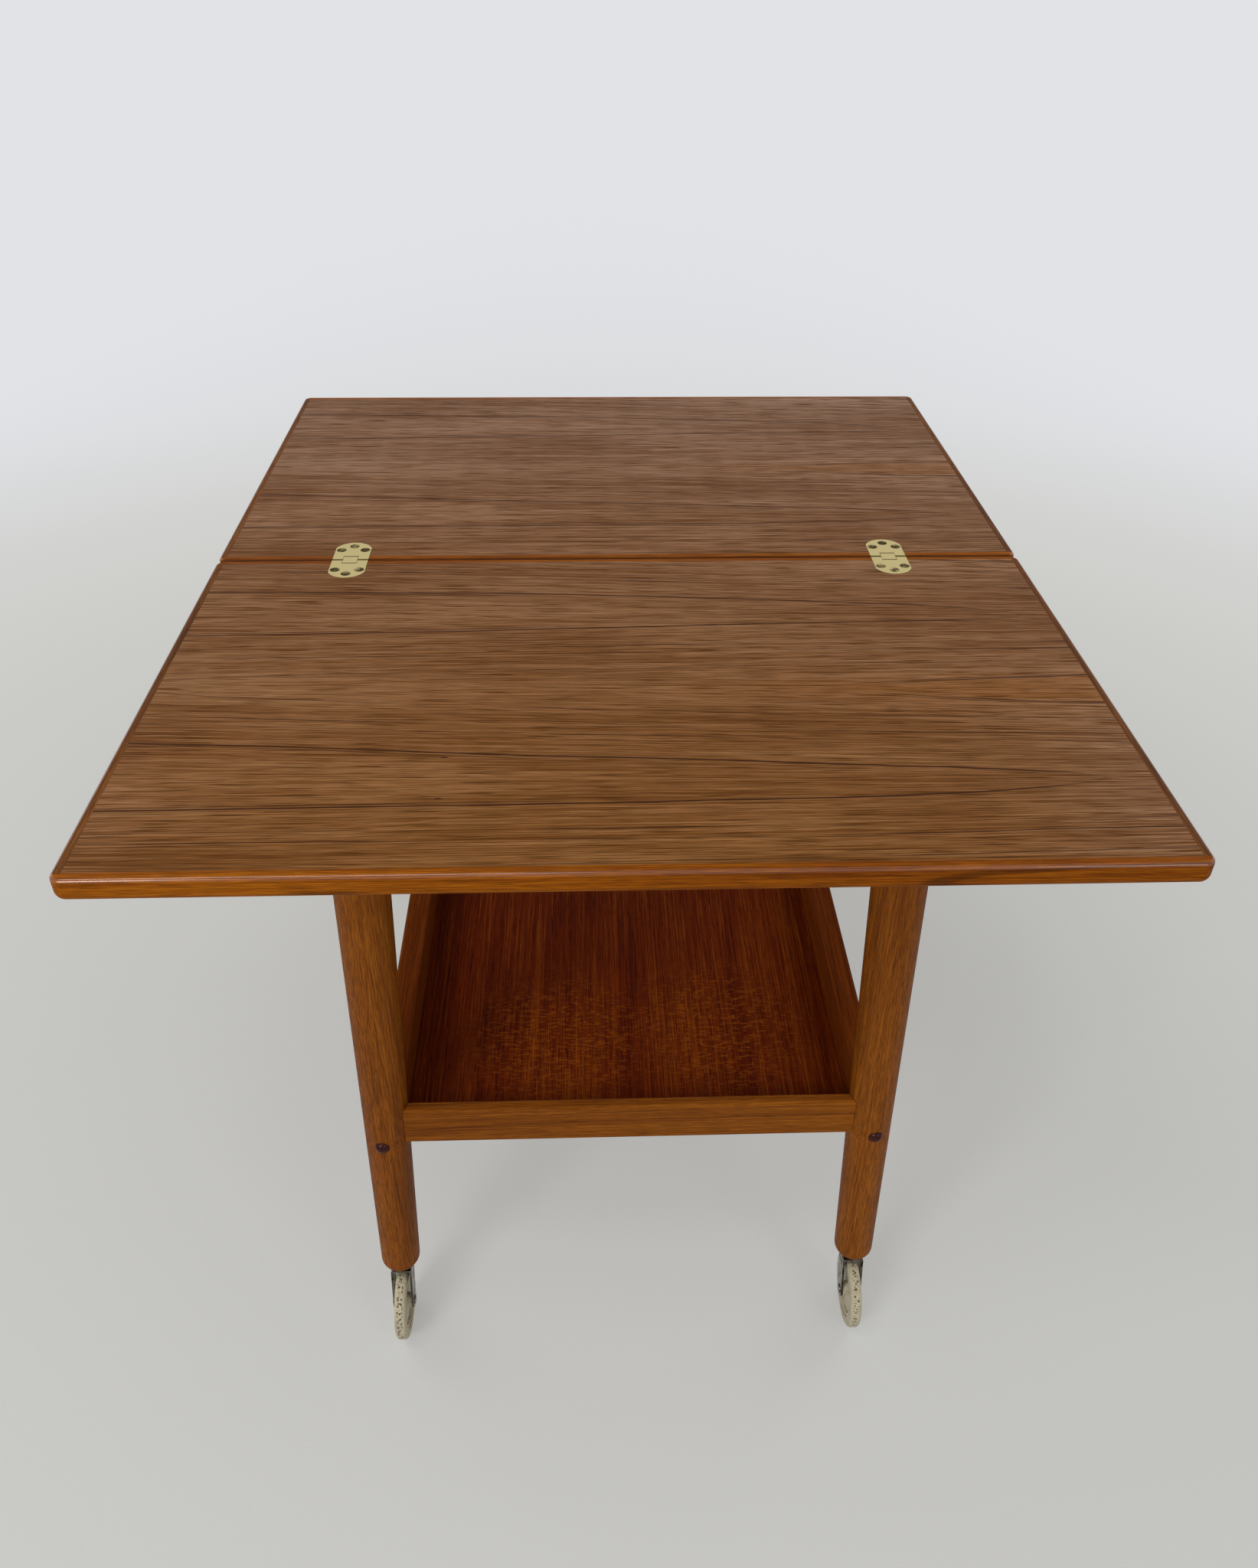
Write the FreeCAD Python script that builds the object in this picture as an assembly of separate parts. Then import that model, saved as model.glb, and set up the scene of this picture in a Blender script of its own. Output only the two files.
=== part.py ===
import FreeCAD
import Part
import math
import os
from collections import namedtuple

# Tea trolley with a fold-over top. Two equal leaves, joined by two flush hinges, lie open across a narrower
# base. The far leaf (the flap) folds over onto the near one, and both then swivel a quarter turn to cover the
# base. Millimetres, +Z up. The origin is on the floor under the middle of the hinge line. +X runs along the
# hinge line and +Y points from the swivel leaf to the flap.

# Clearances
GLUE_GAP = 0.1
FIT_CLEARANCE = 0.05
RUNNING_CLEARANCE = 0.05
RUNNING_GAP = 0.3
SCREW_CLEARANCE = 0.1
CUT_OVERRUN = 5.0

# Leaves
TABLE_HEIGHT = 620.0
LEAF_LENGTH = 700.0
LEAF_WIDTH = 427.0
LEAF_THICKNESS = 18.0
LEAF_GAP = 0.4
LIPPING_WIDTH = 7.0
LEAF_CORNER_ROUND = 8.0
LEAF_TOP_ROUND = 3.0
LEAF_BOTTOM_ROUND = 6.8
ROUND_LIMIT_SHARE = 0.95

# Flush hinges: the leaves' top edges are rounded near the pins, so that they roll over each other
HINGE_INSET = 114.5
HINGE_WIDTH = 31.0
HINGE_PLATE_LENGTH = 34.4
HINGE_SIDE_LENGTH = 23.5
HINGE_PLATE_THICKNESS = 3.0
HINGE_PIN_SETBACK = 3.0
HINGE_PIN_RADIUS = 1.25
HINGE_PIN_RECESS = 0.5
HINGE_LINK_WIDTH = 12.4
HINGE_LINK_RADIUS = 3.6
FOLDED_LEAF_GAP = 1.4
HINGE_POCKET_CLEARANCE = 0.15
HINGE_SIDE_SCREW_SPREAD = 20.6
HINGE_SIDE_SCREW_SETBACK = 19.2
HINGE_END_SCREW_SETBACK = 26.8
HINGE_SCREW_HEAD_RADIUS = 4.1
HINGE_SCREW_SHANK_RADIUS = 2.1
HINGE_SCREW_LENGTH = 14.0
SLOT_WIDTH_SHARE = 0.26
SLOT_DEPTH_SHARE = 0.28
SCREW_TIP_SHARE = 0.35

# Legs: at the sides they stand inside the long edges of the shut top
LEG_INSET_X = 21.5
LEG_TOP_SPAN_Y = 616.0
LEG_SPLAY_X = 15.1
LEG_SPLAY_Y = 17.6
LEG_TOP_RADIUS = 21.2
LEG_FOOT_RADIUS = 17.0
LEG_TOP_ROUND = 2.0
LEG_FOOT_ROUND = 8.4

# Aprons
SWIVEL_GAP = 2.0
APRON_HEIGHT = 55.0
APRON_THICKNESS = 20.0
APRON_EDGE_ROUND = 2.0
APRON_TENON_THICKNESS = 8.0
APRON_TENON_HEIGHT = 36.0
APRON_TENON_DEPTH = 11.0
FELT_RADIUS = 8.0
FELT_LEG_DISTANCE = 60.0

# Tray: wide flat rims at the sides, set in from the legs' middles, and thin ones at the ends, set out
TRAY_TOP = 289.0
TRAY_RIM_ROUND = 2.5
TRAY_UNDER_ROUND = 1.5
TRAY_SIDE_HEIGHT = 55.0
TRAY_SIDE_THICKNESS = 22.0
TRAY_SIDE_SETOUT = -4.0
TRAY_SIDE_TENON_THICKNESS = 10.0
TRAY_END_HEIGHT = 39.0
TRAY_END_THICKNESS = 10.0
TRAY_END_SETOUT = 5.3
TRAY_END_TENON_THICKNESS = 5.0
TRAY_TENON_HEIGHT = 26.0
TRAY_TENON_DEPTH = 7.0
TRAY_SHOULDER_GAP = 0.3
TRAY_WELL_DEPTH = 32.0
TRAY_PANEL_THICKNESS = 5.0
TRAY_GROOVE_DEPTH = 5.0
PLUG_DROP = 35.0
PLUG_SETOUT = 2.0
PLUG_RADIUS = 6.0
PLUG_DOME = 3.4
PLUG_BORE_DEPTH = 10.0
TRAY_SCREW_RADIUS = 2.2
TRAY_SCREW_LENGTH = 52.0
TRAY_SCREW_HEAD_RADIUS = 4.4
TRAY_SCREW_HEAD_HEIGHT = 3.2

# Swivel
PIVOT_RAIL_WIDTH = 90.0
PIVOT_RAIL_THICKNESS = 20.0
PIVOT_RAIL_SHOULDER = 10.0
PIVOT_RAIL_TENON_THICKNESS = 10.0
PIVOT_RAIL_TENON_DEPTH = 8.0
PIVOT_BOLT_RADIUS = 5.0
PIVOT_BOLT_TAIL = 3.0
PIVOT_BUSH_WALL = 2.0
PIVOT_PLATE_RADIUS = 40.0
PIVOT_PLATE_THICKNESS = 3.0
PIVOT_SCREW_CIRCLE_RADIUS = 29.0
PIVOT_SCREW_COUNT = 4
PIVOT_SCREW_HEAD_RADIUS = 3.6
PIVOT_SCREW_SHANK_RADIUS = 1.8
PIVOT_SCREW_LENGTH = 13.0
PIVOT_WASHER_RADIUS = 14.0
PIVOT_WASHER_THICKNESS = 2.0
PIVOT_NUT_FLATS = 17.0
PIVOT_NUT_HEIGHT = 8.0
STOP_DOWEL_RADIUS = 5.0
STOP_DOWEL_BORE_DEPTH = 9.0
STOP_DOWEL_DROP = 14.0
STOP_DOWEL_OFFSET = 60.0

# Castors
WHEEL_RADIUS = 34.0
TYRE_WIDTH = 10.0
TYRE_DEPTH = 9.0
TYRE_ROUND = 3.0
HUB_RIM_DEPTH = 3.0
HUB_RIM_INSET = 1.0
HUB_WEB_THICKNESS = 4.0
HUB_BOSS_RADIUS = 6.5
HUB_SIDE_CLEARANCE = 0.4
AXLE_RADIUS = 2.5
AXLE_HEAD_RADIUS = 4.2
AXLE_HEAD_HEIGHT = 1.0
FORK_WIDTH = 18.7
FORK_THICKNESS = 1.8
FORK_BEND_ROUND = 1.6
FORK_PLATE_LENGTH = 18.0
FORK_EYE_RADIUS = 7.0
FORK_WHEEL_GAP = 4.0
CASTOR_TRAIL = 12.0
STEM_RADIUS = 4.0
STEM_LENGTH = 29.0
STEM_COLLAR_RADIUS = 7.0
STEM_COLLAR_HEIGHT = 4.6
STEM_NECK_RADIUS = 3.0
STEM_RIVET_RADIUS = 5.5
STEM_RIVET_HEIGHT = 1.8
STEM_END_CHAMFER = 1.0
SOCKET_WALL = 1.5
SOCKET_LENGTH = 34.0
SOCKET_FLANGE_RADIUS = 8.0
SOCKET_FLANGE_THICKNESS = 1.5

# Heights and places that follow from the sizes above
LEG_TOP_SPAN_X = LEAF_WIDTH - 2 * LEG_INSET_X
LEG_FOOT_SPAN_X = LEG_TOP_SPAN_X + 2 * LEG_SPLAY_X
LEG_FOOT_SPAN_Y = LEG_TOP_SPAN_Y + 2 * LEG_SPLAY_Y
LEAF_BOTTOM = TABLE_HEIGHT - LEAF_THICKNESS
HALF_GAP = LEAF_GAP / 2
PIN_Y = -(HALF_GAP + HINGE_PIN_SETBACK)
PIN_Z = PIN_Y + FOLDED_LEAF_GAP / 2
KNUCKLE_RADIUS = -PIN_Y - RUNNING_CLEARANCE
LINK_BOTTOM = PIN_Z - HINGE_LINK_RADIUS
HINGE_PLACES = [side * (LEAF_LENGTH / 2 - HINGE_INSET) for side in (-1, 1)]
PIVOT_X = -(LEAF_WIDTH + LEAF_GAP) / 4
PIVOT_Y = PIVOT_X
APRON_TOP = LEAF_BOTTOM - SWIVEL_GAP
RAIL_BOTTOM = APRON_TOP - PIVOT_RAIL_THICKNESS
FORK_PLATE_BOTTOM = 2 * WHEEL_RADIUS + FORK_WHEEL_GAP
FORK_TOP = FORK_PLATE_BOTTOM + FORK_THICKNESS
COLLAR_TOP = FORK_TOP + STEM_COLLAR_HEIGHT
SOCKET_BOTTOM = COLLAR_TOP + RUNNING_GAP
FOOT_HEIGHT = SOCKET_BOTTOM + SOCKET_FLANGE_THICKNESS
TRAY_PANEL_TOP = TRAY_TOP - TRAY_WELL_DEPTH
TRAY_PANEL_BOTTOM = TRAY_PANEL_TOP - TRAY_PANEL_THICKNESS
PLUG_HEIGHT = TRAY_TOP - PLUG_DROP
FORK_GAP = FORK_WIDTH - 2 * FORK_THICKNESS

# A rail between two legs: the set-out is how far its middle stands outside the line through the legs' middles
Rail = namedtuple("Rail", "top height thickness setout top_round under_round shoulder_gap "
                          "tenon_thickness tenon_height tenon_depth")
APRON = Rail(APRON_TOP, APRON_HEIGHT, APRON_THICKNESS, 0, APRON_EDGE_ROUND, APRON_EDGE_ROUND, GLUE_GAP,
             APRON_TENON_THICKNESS, APRON_TENON_HEIGHT, APRON_TENON_DEPTH)
TRAY_SIDE = Rail(TRAY_TOP, TRAY_SIDE_HEIGHT, TRAY_SIDE_THICKNESS, TRAY_SIDE_SETOUT,
                 TRAY_RIM_ROUND, TRAY_UNDER_ROUND, TRAY_SHOULDER_GAP,
                 TRAY_SIDE_TENON_THICKNESS, TRAY_TENON_HEIGHT, TRAY_TENON_DEPTH)
TRAY_END = Rail(TRAY_TOP, TRAY_END_HEIGHT, TRAY_END_THICKNESS, TRAY_END_SETOUT,
                TRAY_RIM_ROUND, TRAY_UNDER_ROUND, TRAY_SHOULDER_GAP,
                TRAY_END_TENON_THICKNESS, TRAY_TENON_HEIGHT, TRAY_TENON_DEPTH)

# Corners as seen from the near side: sign along X, sign along Y
CORNERS = {
    "front_left": (-1, -1),
    "front_right": (1, -1),
    "back_left": (-1, 1),
    "back_right": (1, 1),
}

UP = FreeCAD.Vector(0, 0, 1)
DOWN = FreeCAD.Vector(0, 0, -1)
ORIGIN = FreeCAD.Vector(0, 0, 0)
SAME_HEIGHT = 1e-4
UPRIGHT_SHARE = 0.99


def point(x, y, z):
    return FreeCAD.Vector(x, y, z)


def span(middle, width):
    """The two limits of a width about its middle."""
    return (middle - width / 2, middle + width / 2)


def block(x_limits, y_limits, z_limits):
    """A box between two limits on each axis, given in either order."""
    low = [min(limits) for limits in (x_limits, y_limits, z_limits)]
    size = [max(limits) - min(limits) for limits in (x_limits, y_limits, z_limits)]
    return Part.makeBox(size[0], size[1], size[2], point(*low))


def rod(radius, start, end):
    """A round bar from one point to another."""
    along = end - start
    return Part.makeCylinder(radius, along.Length, start, along)


def prism(corners, push):
    """A straight-sided outline pushed along a vector."""
    return Part.Face(Part.makePolygon(corners + corners[:1])).extrude(push)


def level_edges(shape, height):
    """The edges that lie at one height."""
    def lies_there(edge):
        box = edge.BoundBox
        return abs(box.ZMin - height) < SAME_HEIGHT and abs(box.ZMax - height) < SAME_HEIGHT
    return [edge for edge in shape.Edges if lies_there(edge)]


def upright_edges(shape):
    return [edge for edge in shape.Edges if abs(edge.tangentAt(edge.FirstParameter).z) > UPRIGHT_SHARE]


def placed(shape, x, y, z):
    copy = shape.copy()
    copy.translate(point(x, y, z))
    return copy


def half_turned(shape):
    """The same shape on the other side of the hinge line."""
    copy = shape.copy()
    copy.rotate(ORIGIN, UP, 180)
    return copy


def save(name, *shapes):
    """Write one node, as one solid or as a group of separate solids."""
    solids = [solid for shape in shapes for solid in shape.removeSplitter().Solids]
    for solid in solids:
        if not solid.isValid():
            raise ValueError(name + " has a solid that isn't valid")
    whole = solids[0] if len(solids) == 1 else Part.makeCompound(solids)
    whole.exportStep(os.path.join("parts", name + ".step"))
    print(name, len(solids), round(whole.Volume))


# Screws: the head's top is at the origin and the point is below
def screw_body(head_radius, shank_radius, length, grow):
    """A countersunk screw without its slot, or the hole for it where it is grown."""
    depth = head_radius - shank_radius
    tip = shank_radius
    head = Part.makeCone(head_radius + grow, shank_radius + grow, depth, ORIGIN, DOWN)
    shank = rod(shank_radius + grow, point(0, 0, -depth), point(0, 0, tip - length))
    end = Part.makeCone(shank_radius + grow, shank_radius * SCREW_TIP_SHARE + grow, tip + grow,
                        point(0, 0, tip - length), DOWN)
    return head.fuse([shank, end])


def countersunk_screw(head_radius, shank_radius, length):
    slot_depth = head_radius * SLOT_DEPTH_SHARE
    slot = block(span(0, 2 * head_radius + CUT_OVERRUN), span(0, head_radius * SLOT_WIDTH_SHARE),
                 (-slot_depth, CUT_OVERRUN))
    return screw_body(head_radius, shank_radius, length, 0).cut(slot)


def screw_hole(head_radius, shank_radius, length):
    mouth = rod(head_radius + SCREW_CLEARANCE, ORIGIN, point(0, 0, CUT_OVERRUN))
    return screw_body(head_radius, shank_radius, length, SCREW_CLEARANCE).fuse(mouth)


# Flush hinge: worked out on the swivel leaf's side, with the hinge's middle at the origin
def hinge_screw_places():
    side_y = -(HALF_GAP + HINGE_SIDE_SCREW_SETBACK)
    end_y = -(HALF_GAP + HINGE_END_SCREW_SETBACK)
    half = HINGE_SIDE_SCREW_SPREAD / 2
    return [(-half, side_y), (half, side_y), (0, end_y)]


def hinge_screw_sizes():
    return HINGE_SCREW_HEAD_RADIUS, HINGE_SCREW_SHANK_RADIUS, HINGE_SCREW_LENGTH


def hinge_screw_holes():
    hole = screw_hole(*hinge_screw_sizes())
    return [placed(hole, x, y, 0) for x, y in hinge_screw_places()]


def hinge_outline(grow):
    """The plate seen from above: straight sides and a round end."""
    half = HINGE_WIDTH / 2 + grow
    corner_y = -(HALF_GAP + HINGE_SIDE_LENGTH)
    tip_y = -(HALF_GAP + HINGE_PLATE_LENGTH + grow)
    joint = [point(-half, PIN_Y, 0), point(half, PIN_Y, 0)]
    corner = [point(-half, corner_y, 0), point(half, corner_y, 0)]
    edges = [
        Part.LineSegment(joint[0], joint[1]).toShape(),
        Part.LineSegment(joint[1], corner[1]).toShape(),
        Part.Arc(corner[1], point(0, tip_y, 0), corner[0]).toShape(),
        Part.LineSegment(corner[0], joint[0]).toShape(),
    ]
    return Part.Face(Part.Wire(edges))


def across_hinge(radius, y, length):
    """A bar along the hinge's width at the pins' depth."""
    return rod(radius, point(-length / 2, y, PIN_Z), point(length / 2, y, PIN_Z))


def link_end_room():
    """How far back from the joint the link's rounded end can turn freely."""
    return PIN_Y - HINGE_LINK_RADIUS - RUNNING_GAP


def above_top():
    """The room above the leaves, which takes the tops off the round knuckles and link ends."""
    return block(span(0, 2 * HINGE_WIDTH), span(0, 2 * HINGE_PLATE_LENGTH), (0, LEAF_THICKNESS))


def hinge_plate():
    """Plate and knuckles in one, slotted for the link, bored for the pin and countersunk for the screws."""
    plate = hinge_outline(0).extrude(DOWN * HINGE_PLATE_THICKNESS)
    knuckle = across_hinge(KNUCKLE_RADIUS, PIN_Y, HINGE_WIDTH)
    slot_width = HINGE_LINK_WIDTH + 2 * RUNNING_GAP
    slot = block(span(0, slot_width), (link_end_room(), CUT_OVERRUN), span(0, LEAF_THICKNESS))
    bore = across_hinge(HINGE_PIN_RADIUS + RUNNING_CLEARANCE, PIN_Y, HINGE_WIDTH + CUT_OVERRUN)
    return plate.fuse(knuckle).cut([above_top(), slot, bore] + hinge_screw_holes())


def hinge_pocket():
    """What the hinge takes out of a leaf."""
    grow = HINGE_POCKET_CLEARANCE
    plate_room = hinge_outline(grow).extrude(DOWN * HINGE_PLATE_THICKNESS)
    knuckle_room = block(span(0, HINGE_WIDTH + 2 * grow), (link_end_room(), CUT_OVERRUN),
                         (LINK_BOTTOM - RUNNING_GAP, CUT_OVERRUN))
    return [plate_room, knuckle_room] + hinge_screw_holes()


def hinge_link():
    """The flat-topped link between the two pins, with rounded ends."""
    bars = [across_hinge(HINGE_LINK_RADIUS, y, HINGE_LINK_WIDTH) for y in (PIN_Y, -PIN_Y)]
    middle = block(span(0, HINGE_LINK_WIDTH), (PIN_Y, -PIN_Y), (LINK_BOTTOM, 0))
    bores = [across_hinge(HINGE_PIN_RADIUS + FIT_CLEARANCE, y, HINGE_WIDTH) for y in (PIN_Y, -PIN_Y)]
    return middle.fuse(bars).removeSplitter().cut([above_top()] + bores)


def hinge_pins():
    length = HINGE_WIDTH - 2 * HINGE_PIN_RECESS
    return [across_hinge(HINGE_PIN_RADIUS, y, length) for y in (PIN_Y, -PIN_Y)]


def at_both_hinges(shapes):
    return [placed(shape, x, 0, TABLE_HEIGHT) for x in HINGE_PLACES for shape in shapes]


# Leaves
def leaf_blank():
    """A whole leaf on the swivel side, with its corners and edges rounded."""
    leaf = block(span(0, LEAF_LENGTH), (-HALF_GAP - LEAF_WIDTH, -HALF_GAP), (LEAF_BOTTOM, TABLE_HEIGHT))
    leaf = leaf.makeFillet(LEAF_CORNER_ROUND, upright_edges(leaf))
    leaf = leaf.makeFillet(min(LEAF_TOP_ROUND, ROUND_LIMIT_SHARE * LEAF_CORNER_ROUND),
                           level_edges(leaf, TABLE_HEIGHT))
    return leaf.makeFillet(min(LEAF_BOTTOM_ROUND, ROUND_LIMIT_SHARE * LEAF_CORNER_ROUND),
                           level_edges(leaf, LEAF_BOTTOM))


def leaf_pieces(cuts):
    """Panel, long lippings and end lippings of the leaf on the swivel side."""
    leaf = leaf_blank().cut(cuts)
    high = (LEAF_BOTTOM - CUT_OVERRUN, TABLE_HEIGHT + CUT_OVERRUN)
    joint = -HALF_GAP
    outer = -HALF_GAP - LEAF_WIDTH
    inner_y = (outer + LIPPING_WIDTH, joint - LIPPING_WIDTH)
    inner_x = span(0, LEAF_LENGTH - 2 * LIPPING_WIDTH)
    full_x = span(0, LEAF_LENGTH + CUT_OVERRUN)
    panel = leaf.common(block(inner_x, inner_y, high))
    long_lippings = [
        leaf.common(block(full_x, (outer - CUT_OVERRUN, inner_y[0]), high)),
        leaf.common(block(full_x, (inner_y[1], joint + CUT_OVERRUN), high)),
    ]
    end_lippings = [leaf.common(block(limits, inner_y, high)) for limits in zip(inner_x, full_x)]
    return panel, long_lippings, end_lippings


def write_leaf(name, cuts, turn):
    panel, long_lippings, end_lippings = leaf_pieces(cuts)
    plates = at_both_hinges([hinge_plate()])
    screw = countersunk_screw(*hinge_screw_sizes())
    screws = at_both_hinges([placed(screw, x, y, 0) for x, y in hinge_screw_places()])
    save(name + "_panel", turn(panel))
    save(name + "_long_lippings", *map(turn, long_lippings))
    save(name + "_end_lippings", *map(turn, end_lippings))
    save(name + "_hinge_plates", *map(turn, plates))
    save(name + "_hinge_screws", *map(turn, screws))


# Swivel under the near leaf
def at_pivot(z):
    return point(PIVOT_X, PIVOT_Y, z)


def pivot_screw_places():
    turns = [2 * math.pi * (index + 0.5) / PIVOT_SCREW_COUNT for index in range(PIVOT_SCREW_COUNT)]
    radius = PIVOT_SCREW_CIRCLE_RADIUS
    return [(PIVOT_X + radius * math.cos(turn), PIVOT_Y + radius * math.sin(turn)) for turn in turns]


def under_leaf(shape):
    """The screw shape turned point up and set in the pivot plate at each of its screws."""
    turned = shape.copy()
    turned.rotate(ORIGIN, FreeCAD.Vector(1, 0, 0), 180)
    return [placed(turned, x, y, LEAF_BOTTOM) for x, y in pivot_screw_places()]


def pivot_screw_sizes():
    return PIVOT_SCREW_HEAD_RADIUS, PIVOT_SCREW_SHANK_RADIUS, PIVOT_SCREW_LENGTH


def bolt_head(grow):
    """The bolt's countersunk head, which fills the thickness of the pivot plate."""
    low = at_pivot(LEAF_BOTTOM)
    return Part.makeCone(PIVOT_BOLT_RADIUS + grow, PIVOT_BOLT_RADIUS + PIVOT_PLATE_THICKNESS + grow,
                         PIVOT_PLATE_THICKNESS, low, UP)


def pivot_plate():
    disc = rod(PIVOT_PLATE_RADIUS, at_pivot(LEAF_BOTTOM), at_pivot(LEAF_BOTTOM + PIVOT_PLATE_THICKNESS))
    return disc.cut([bolt_head(FIT_CLEARANCE)] + under_leaf(screw_hole(*pivot_screw_sizes())))


def washer_top():
    return RAIL_BOTTOM - RUNNING_GAP


def nut_top():
    return washer_top() - PIVOT_WASHER_THICKNESS


def nut_bottom():
    return nut_top() - PIVOT_NUT_HEIGHT


def pivot_bolt():
    shank = rod(PIVOT_BOLT_RADIUS, at_pivot(nut_bottom() - PIVOT_BOLT_TAIL), at_pivot(LEAF_BOTTOM))
    return bolt_head(0).fuse(shank)


def bolt_room(clearance):
    """A clear way for the bolt from end to end."""
    return rod(PIVOT_BOLT_RADIUS + clearance, at_pivot(nut_bottom() - CUT_OVERRUN), at_pivot(LEAF_BOTTOM))


def pivot_washer():
    disc = rod(PIVOT_WASHER_RADIUS, at_pivot(nut_top()), at_pivot(washer_top()))
    return disc.cut(bolt_room(FIT_CLEARANCE))


def pivot_nut():
    radius = PIVOT_NUT_FLATS / math.sqrt(3)
    middle = at_pivot(nut_bottom())
    turns = [math.radians(60 * index) for index in range(6)]
    corners = [middle + point(radius * math.cos(turn), radius * math.sin(turn), 0) for turn in turns]
    return prism(corners, UP * PIVOT_NUT_HEIGHT).cut(bolt_room(FIT_CLEARANCE))


def stop_dowel_places():
    """One dowel meets the left apron when the top is open, the other when it has swivelled shut."""
    reach = PIVOT_X + apron_inner_face() - STOP_DOWEL_RADIUS - RUNNING_GAP
    open_stop = (PIVOT_X - reach, PIVOT_Y - STOP_DOWEL_OFFSET)
    shut_stop = (PIVOT_X + STOP_DOWEL_OFFSET, PIVOT_Y + reach)
    return [open_stop, shut_stop]


def stop_dowels(grow):
    top = LEAF_BOTTOM + STOP_DOWEL_BORE_DEPTH
    bottom = LEAF_BOTTOM - STOP_DOWEL_DROP
    radius = STOP_DOWEL_RADIUS + grow
    return [rod(radius, point(x, y, bottom), point(x, y, top)) for x, y in stop_dowel_places()]


def swivel_cuts():
    """What the swivel takes out of the near leaf's underside."""
    plate_room = rod(PIVOT_PLATE_RADIUS + FIT_CLEARANCE, at_pivot(LEAF_BOTTOM - CUT_OVERRUN),
                     at_pivot(LEAF_BOTTOM + PIVOT_PLATE_THICKNESS))
    return [plate_room] + under_leaf(screw_hole(*pivot_screw_sizes())) + stop_dowels(FIT_CLEARANCE)


# Legs
def leg_axis(z):
    """How far a leg's centre line stands out along X and Y at a height."""
    rise_share = (z - FOOT_HEIGHT) / (APRON_TOP - FOOT_HEIGHT)
    x = LEG_FOOT_SPAN_X + rise_share * (LEG_TOP_SPAN_X - LEG_FOOT_SPAN_X)
    y = LEG_FOOT_SPAN_Y + rise_share * (LEG_TOP_SPAN_Y - LEG_FOOT_SPAN_Y)
    return x / 2, y / 2


def leg_radius(z):
    rise_share = (z - FOOT_HEIGHT) / (APRON_TOP - FOOT_HEIGHT)
    return LEG_FOOT_RADIUS + rise_share * (LEG_TOP_RADIUS - LEG_FOOT_RADIUS)


def leg_cone(signs, grow):
    """The leg's taper along its splayed centre line, running past both ends."""
    ends = []
    for z in (FOOT_HEIGHT - CUT_OVERRUN, APRON_TOP + CUT_OVERRUN):
        x, y = leg_axis(z)
        ends.append((point(signs[0] * x, signs[1] * y, z), leg_radius(z) + grow))
    (low, low_radius), (high, high_radius) = ends
    return Part.makeCone(low_radius, high_radius, (high - low).Length, low, high - low)


def leg(signs):
    x, y = leg_axis((FOOT_HEIGHT + APRON_TOP) / 2)
    room_x = span(signs[0] * x, LEG_FOOT_SPAN_X / 2)
    room_y = span(signs[1] * y, LEG_FOOT_SPAN_Y / 2)
    body = leg_cone(signs, 0).common(block(room_x, room_y, (FOOT_HEIGHT, APRON_TOP)))
    body = body.makeFillet(LEG_FOOT_ROUND, level_edges(body, FOOT_HEIGHT))
    body = body.makeFillet(LEG_TOP_ROUND, level_edges(body, APRON_TOP))
    joints = [(APRON, "x"), (APRON, "y"), (TRAY_END, "x"), (TRAY_SIDE, "y")]
    mortises = [tenon(rail, along, signs, GLUE_GAP) for rail, along in joints]
    return body.cut(mortises + [socket_bore(signs)] + plug_bore(signs))


# Rails between the legs: aprons and tray rims
def rail_middle(rail):
    return rail.top - rail.height / 2


def rail_line(rail):
    """How far out a rail's middle lies, when it runs along Y and when it runs along X."""
    x, y = leg_axis(rail_middle(rail))
    return x + rail.setout, y + rail.setout


def rail_inner_face(rail):
    """How far out a rail's inner face lies, when it runs along Y and when it runs along X."""
    x, y = rail_line(rail)
    return x - rail.thickness / 2, y - rail.thickness / 2


def tenon(rail, along, signs, grow):
    """The tongue at one end of a rail that runs along X or Y."""
    middle = rail_middle(rail)
    x, y = leg_axis(middle)
    line_x, line_y = rail_line(rail)
    radius = leg_radius(middle)
    width = rail.tenon_thickness + 2 * grow
    high = span(middle, rail.tenon_height + 2 * grow)
    start = radius + CUT_OVERRUN
    end = radius - rail.tenon_depth - grow
    if along == "x":
        return block((signs[0] * (x - start), signs[0] * (x - end)), span(signs[1] * line_y, width), high)
    return block(span(signs[0] * line_x, width), (signs[1] * (y - start), signs[1] * (y - end)), high)


def rail_between_legs(rail, along, side):
    """A rail with eased arrises, shoulders scribed to the round legs and a tenon at each end."""
    x, y = leg_axis(rail_middle(rail))
    line_x, line_y = rail_line(rail)
    high = (rail.top - rail.height, rail.top)
    if along == "x":
        ends = [(-1, side), (1, side)]
        body = block((-x, x), span(side * line_y, rail.thickness), high)
    else:
        ends = [(side, -1), (side, 1)]
        body = block(span(side * line_x, rail.thickness), (-y, y), high)
    for height, edge_round in zip(high, (rail.under_round, rail.top_round)):
        long_edges = [edge for edge in level_edges(body, height) if edge.Length > rail.thickness]
        body = body.makeFillet(edge_round, long_edges)
    body = body.cut([leg_cone(signs, rail.shoulder_gap) for signs in ends])
    return body.fuse([tenon(rail, along, signs, 0) for signs in ends])


def apron_inner_face():
    return rail_inner_face(APRON)[0]


def side_apron(side):
    return rail_between_legs(APRON, "y", side).cut(pivot_rail_tenon(side, GLUE_GAP))


def end_apron(side):
    return rail_between_legs(APRON, "x", side)


# Pivot rail
def pivot_rail_tenon(side, grow):
    face = apron_inner_face()
    start = face - CUT_OVERRUN
    end = face + PIVOT_RAIL_TENON_DEPTH + grow
    width = PIVOT_RAIL_WIDTH - 2 * PIVOT_RAIL_SHOULDER + 2 * grow
    high = span(APRON_TOP - PIVOT_RAIL_THICKNESS / 2, PIVOT_RAIL_TENON_THICKNESS + 2 * grow)
    return block((side * start, side * end), span(PIVOT_Y, width), high)


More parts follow.
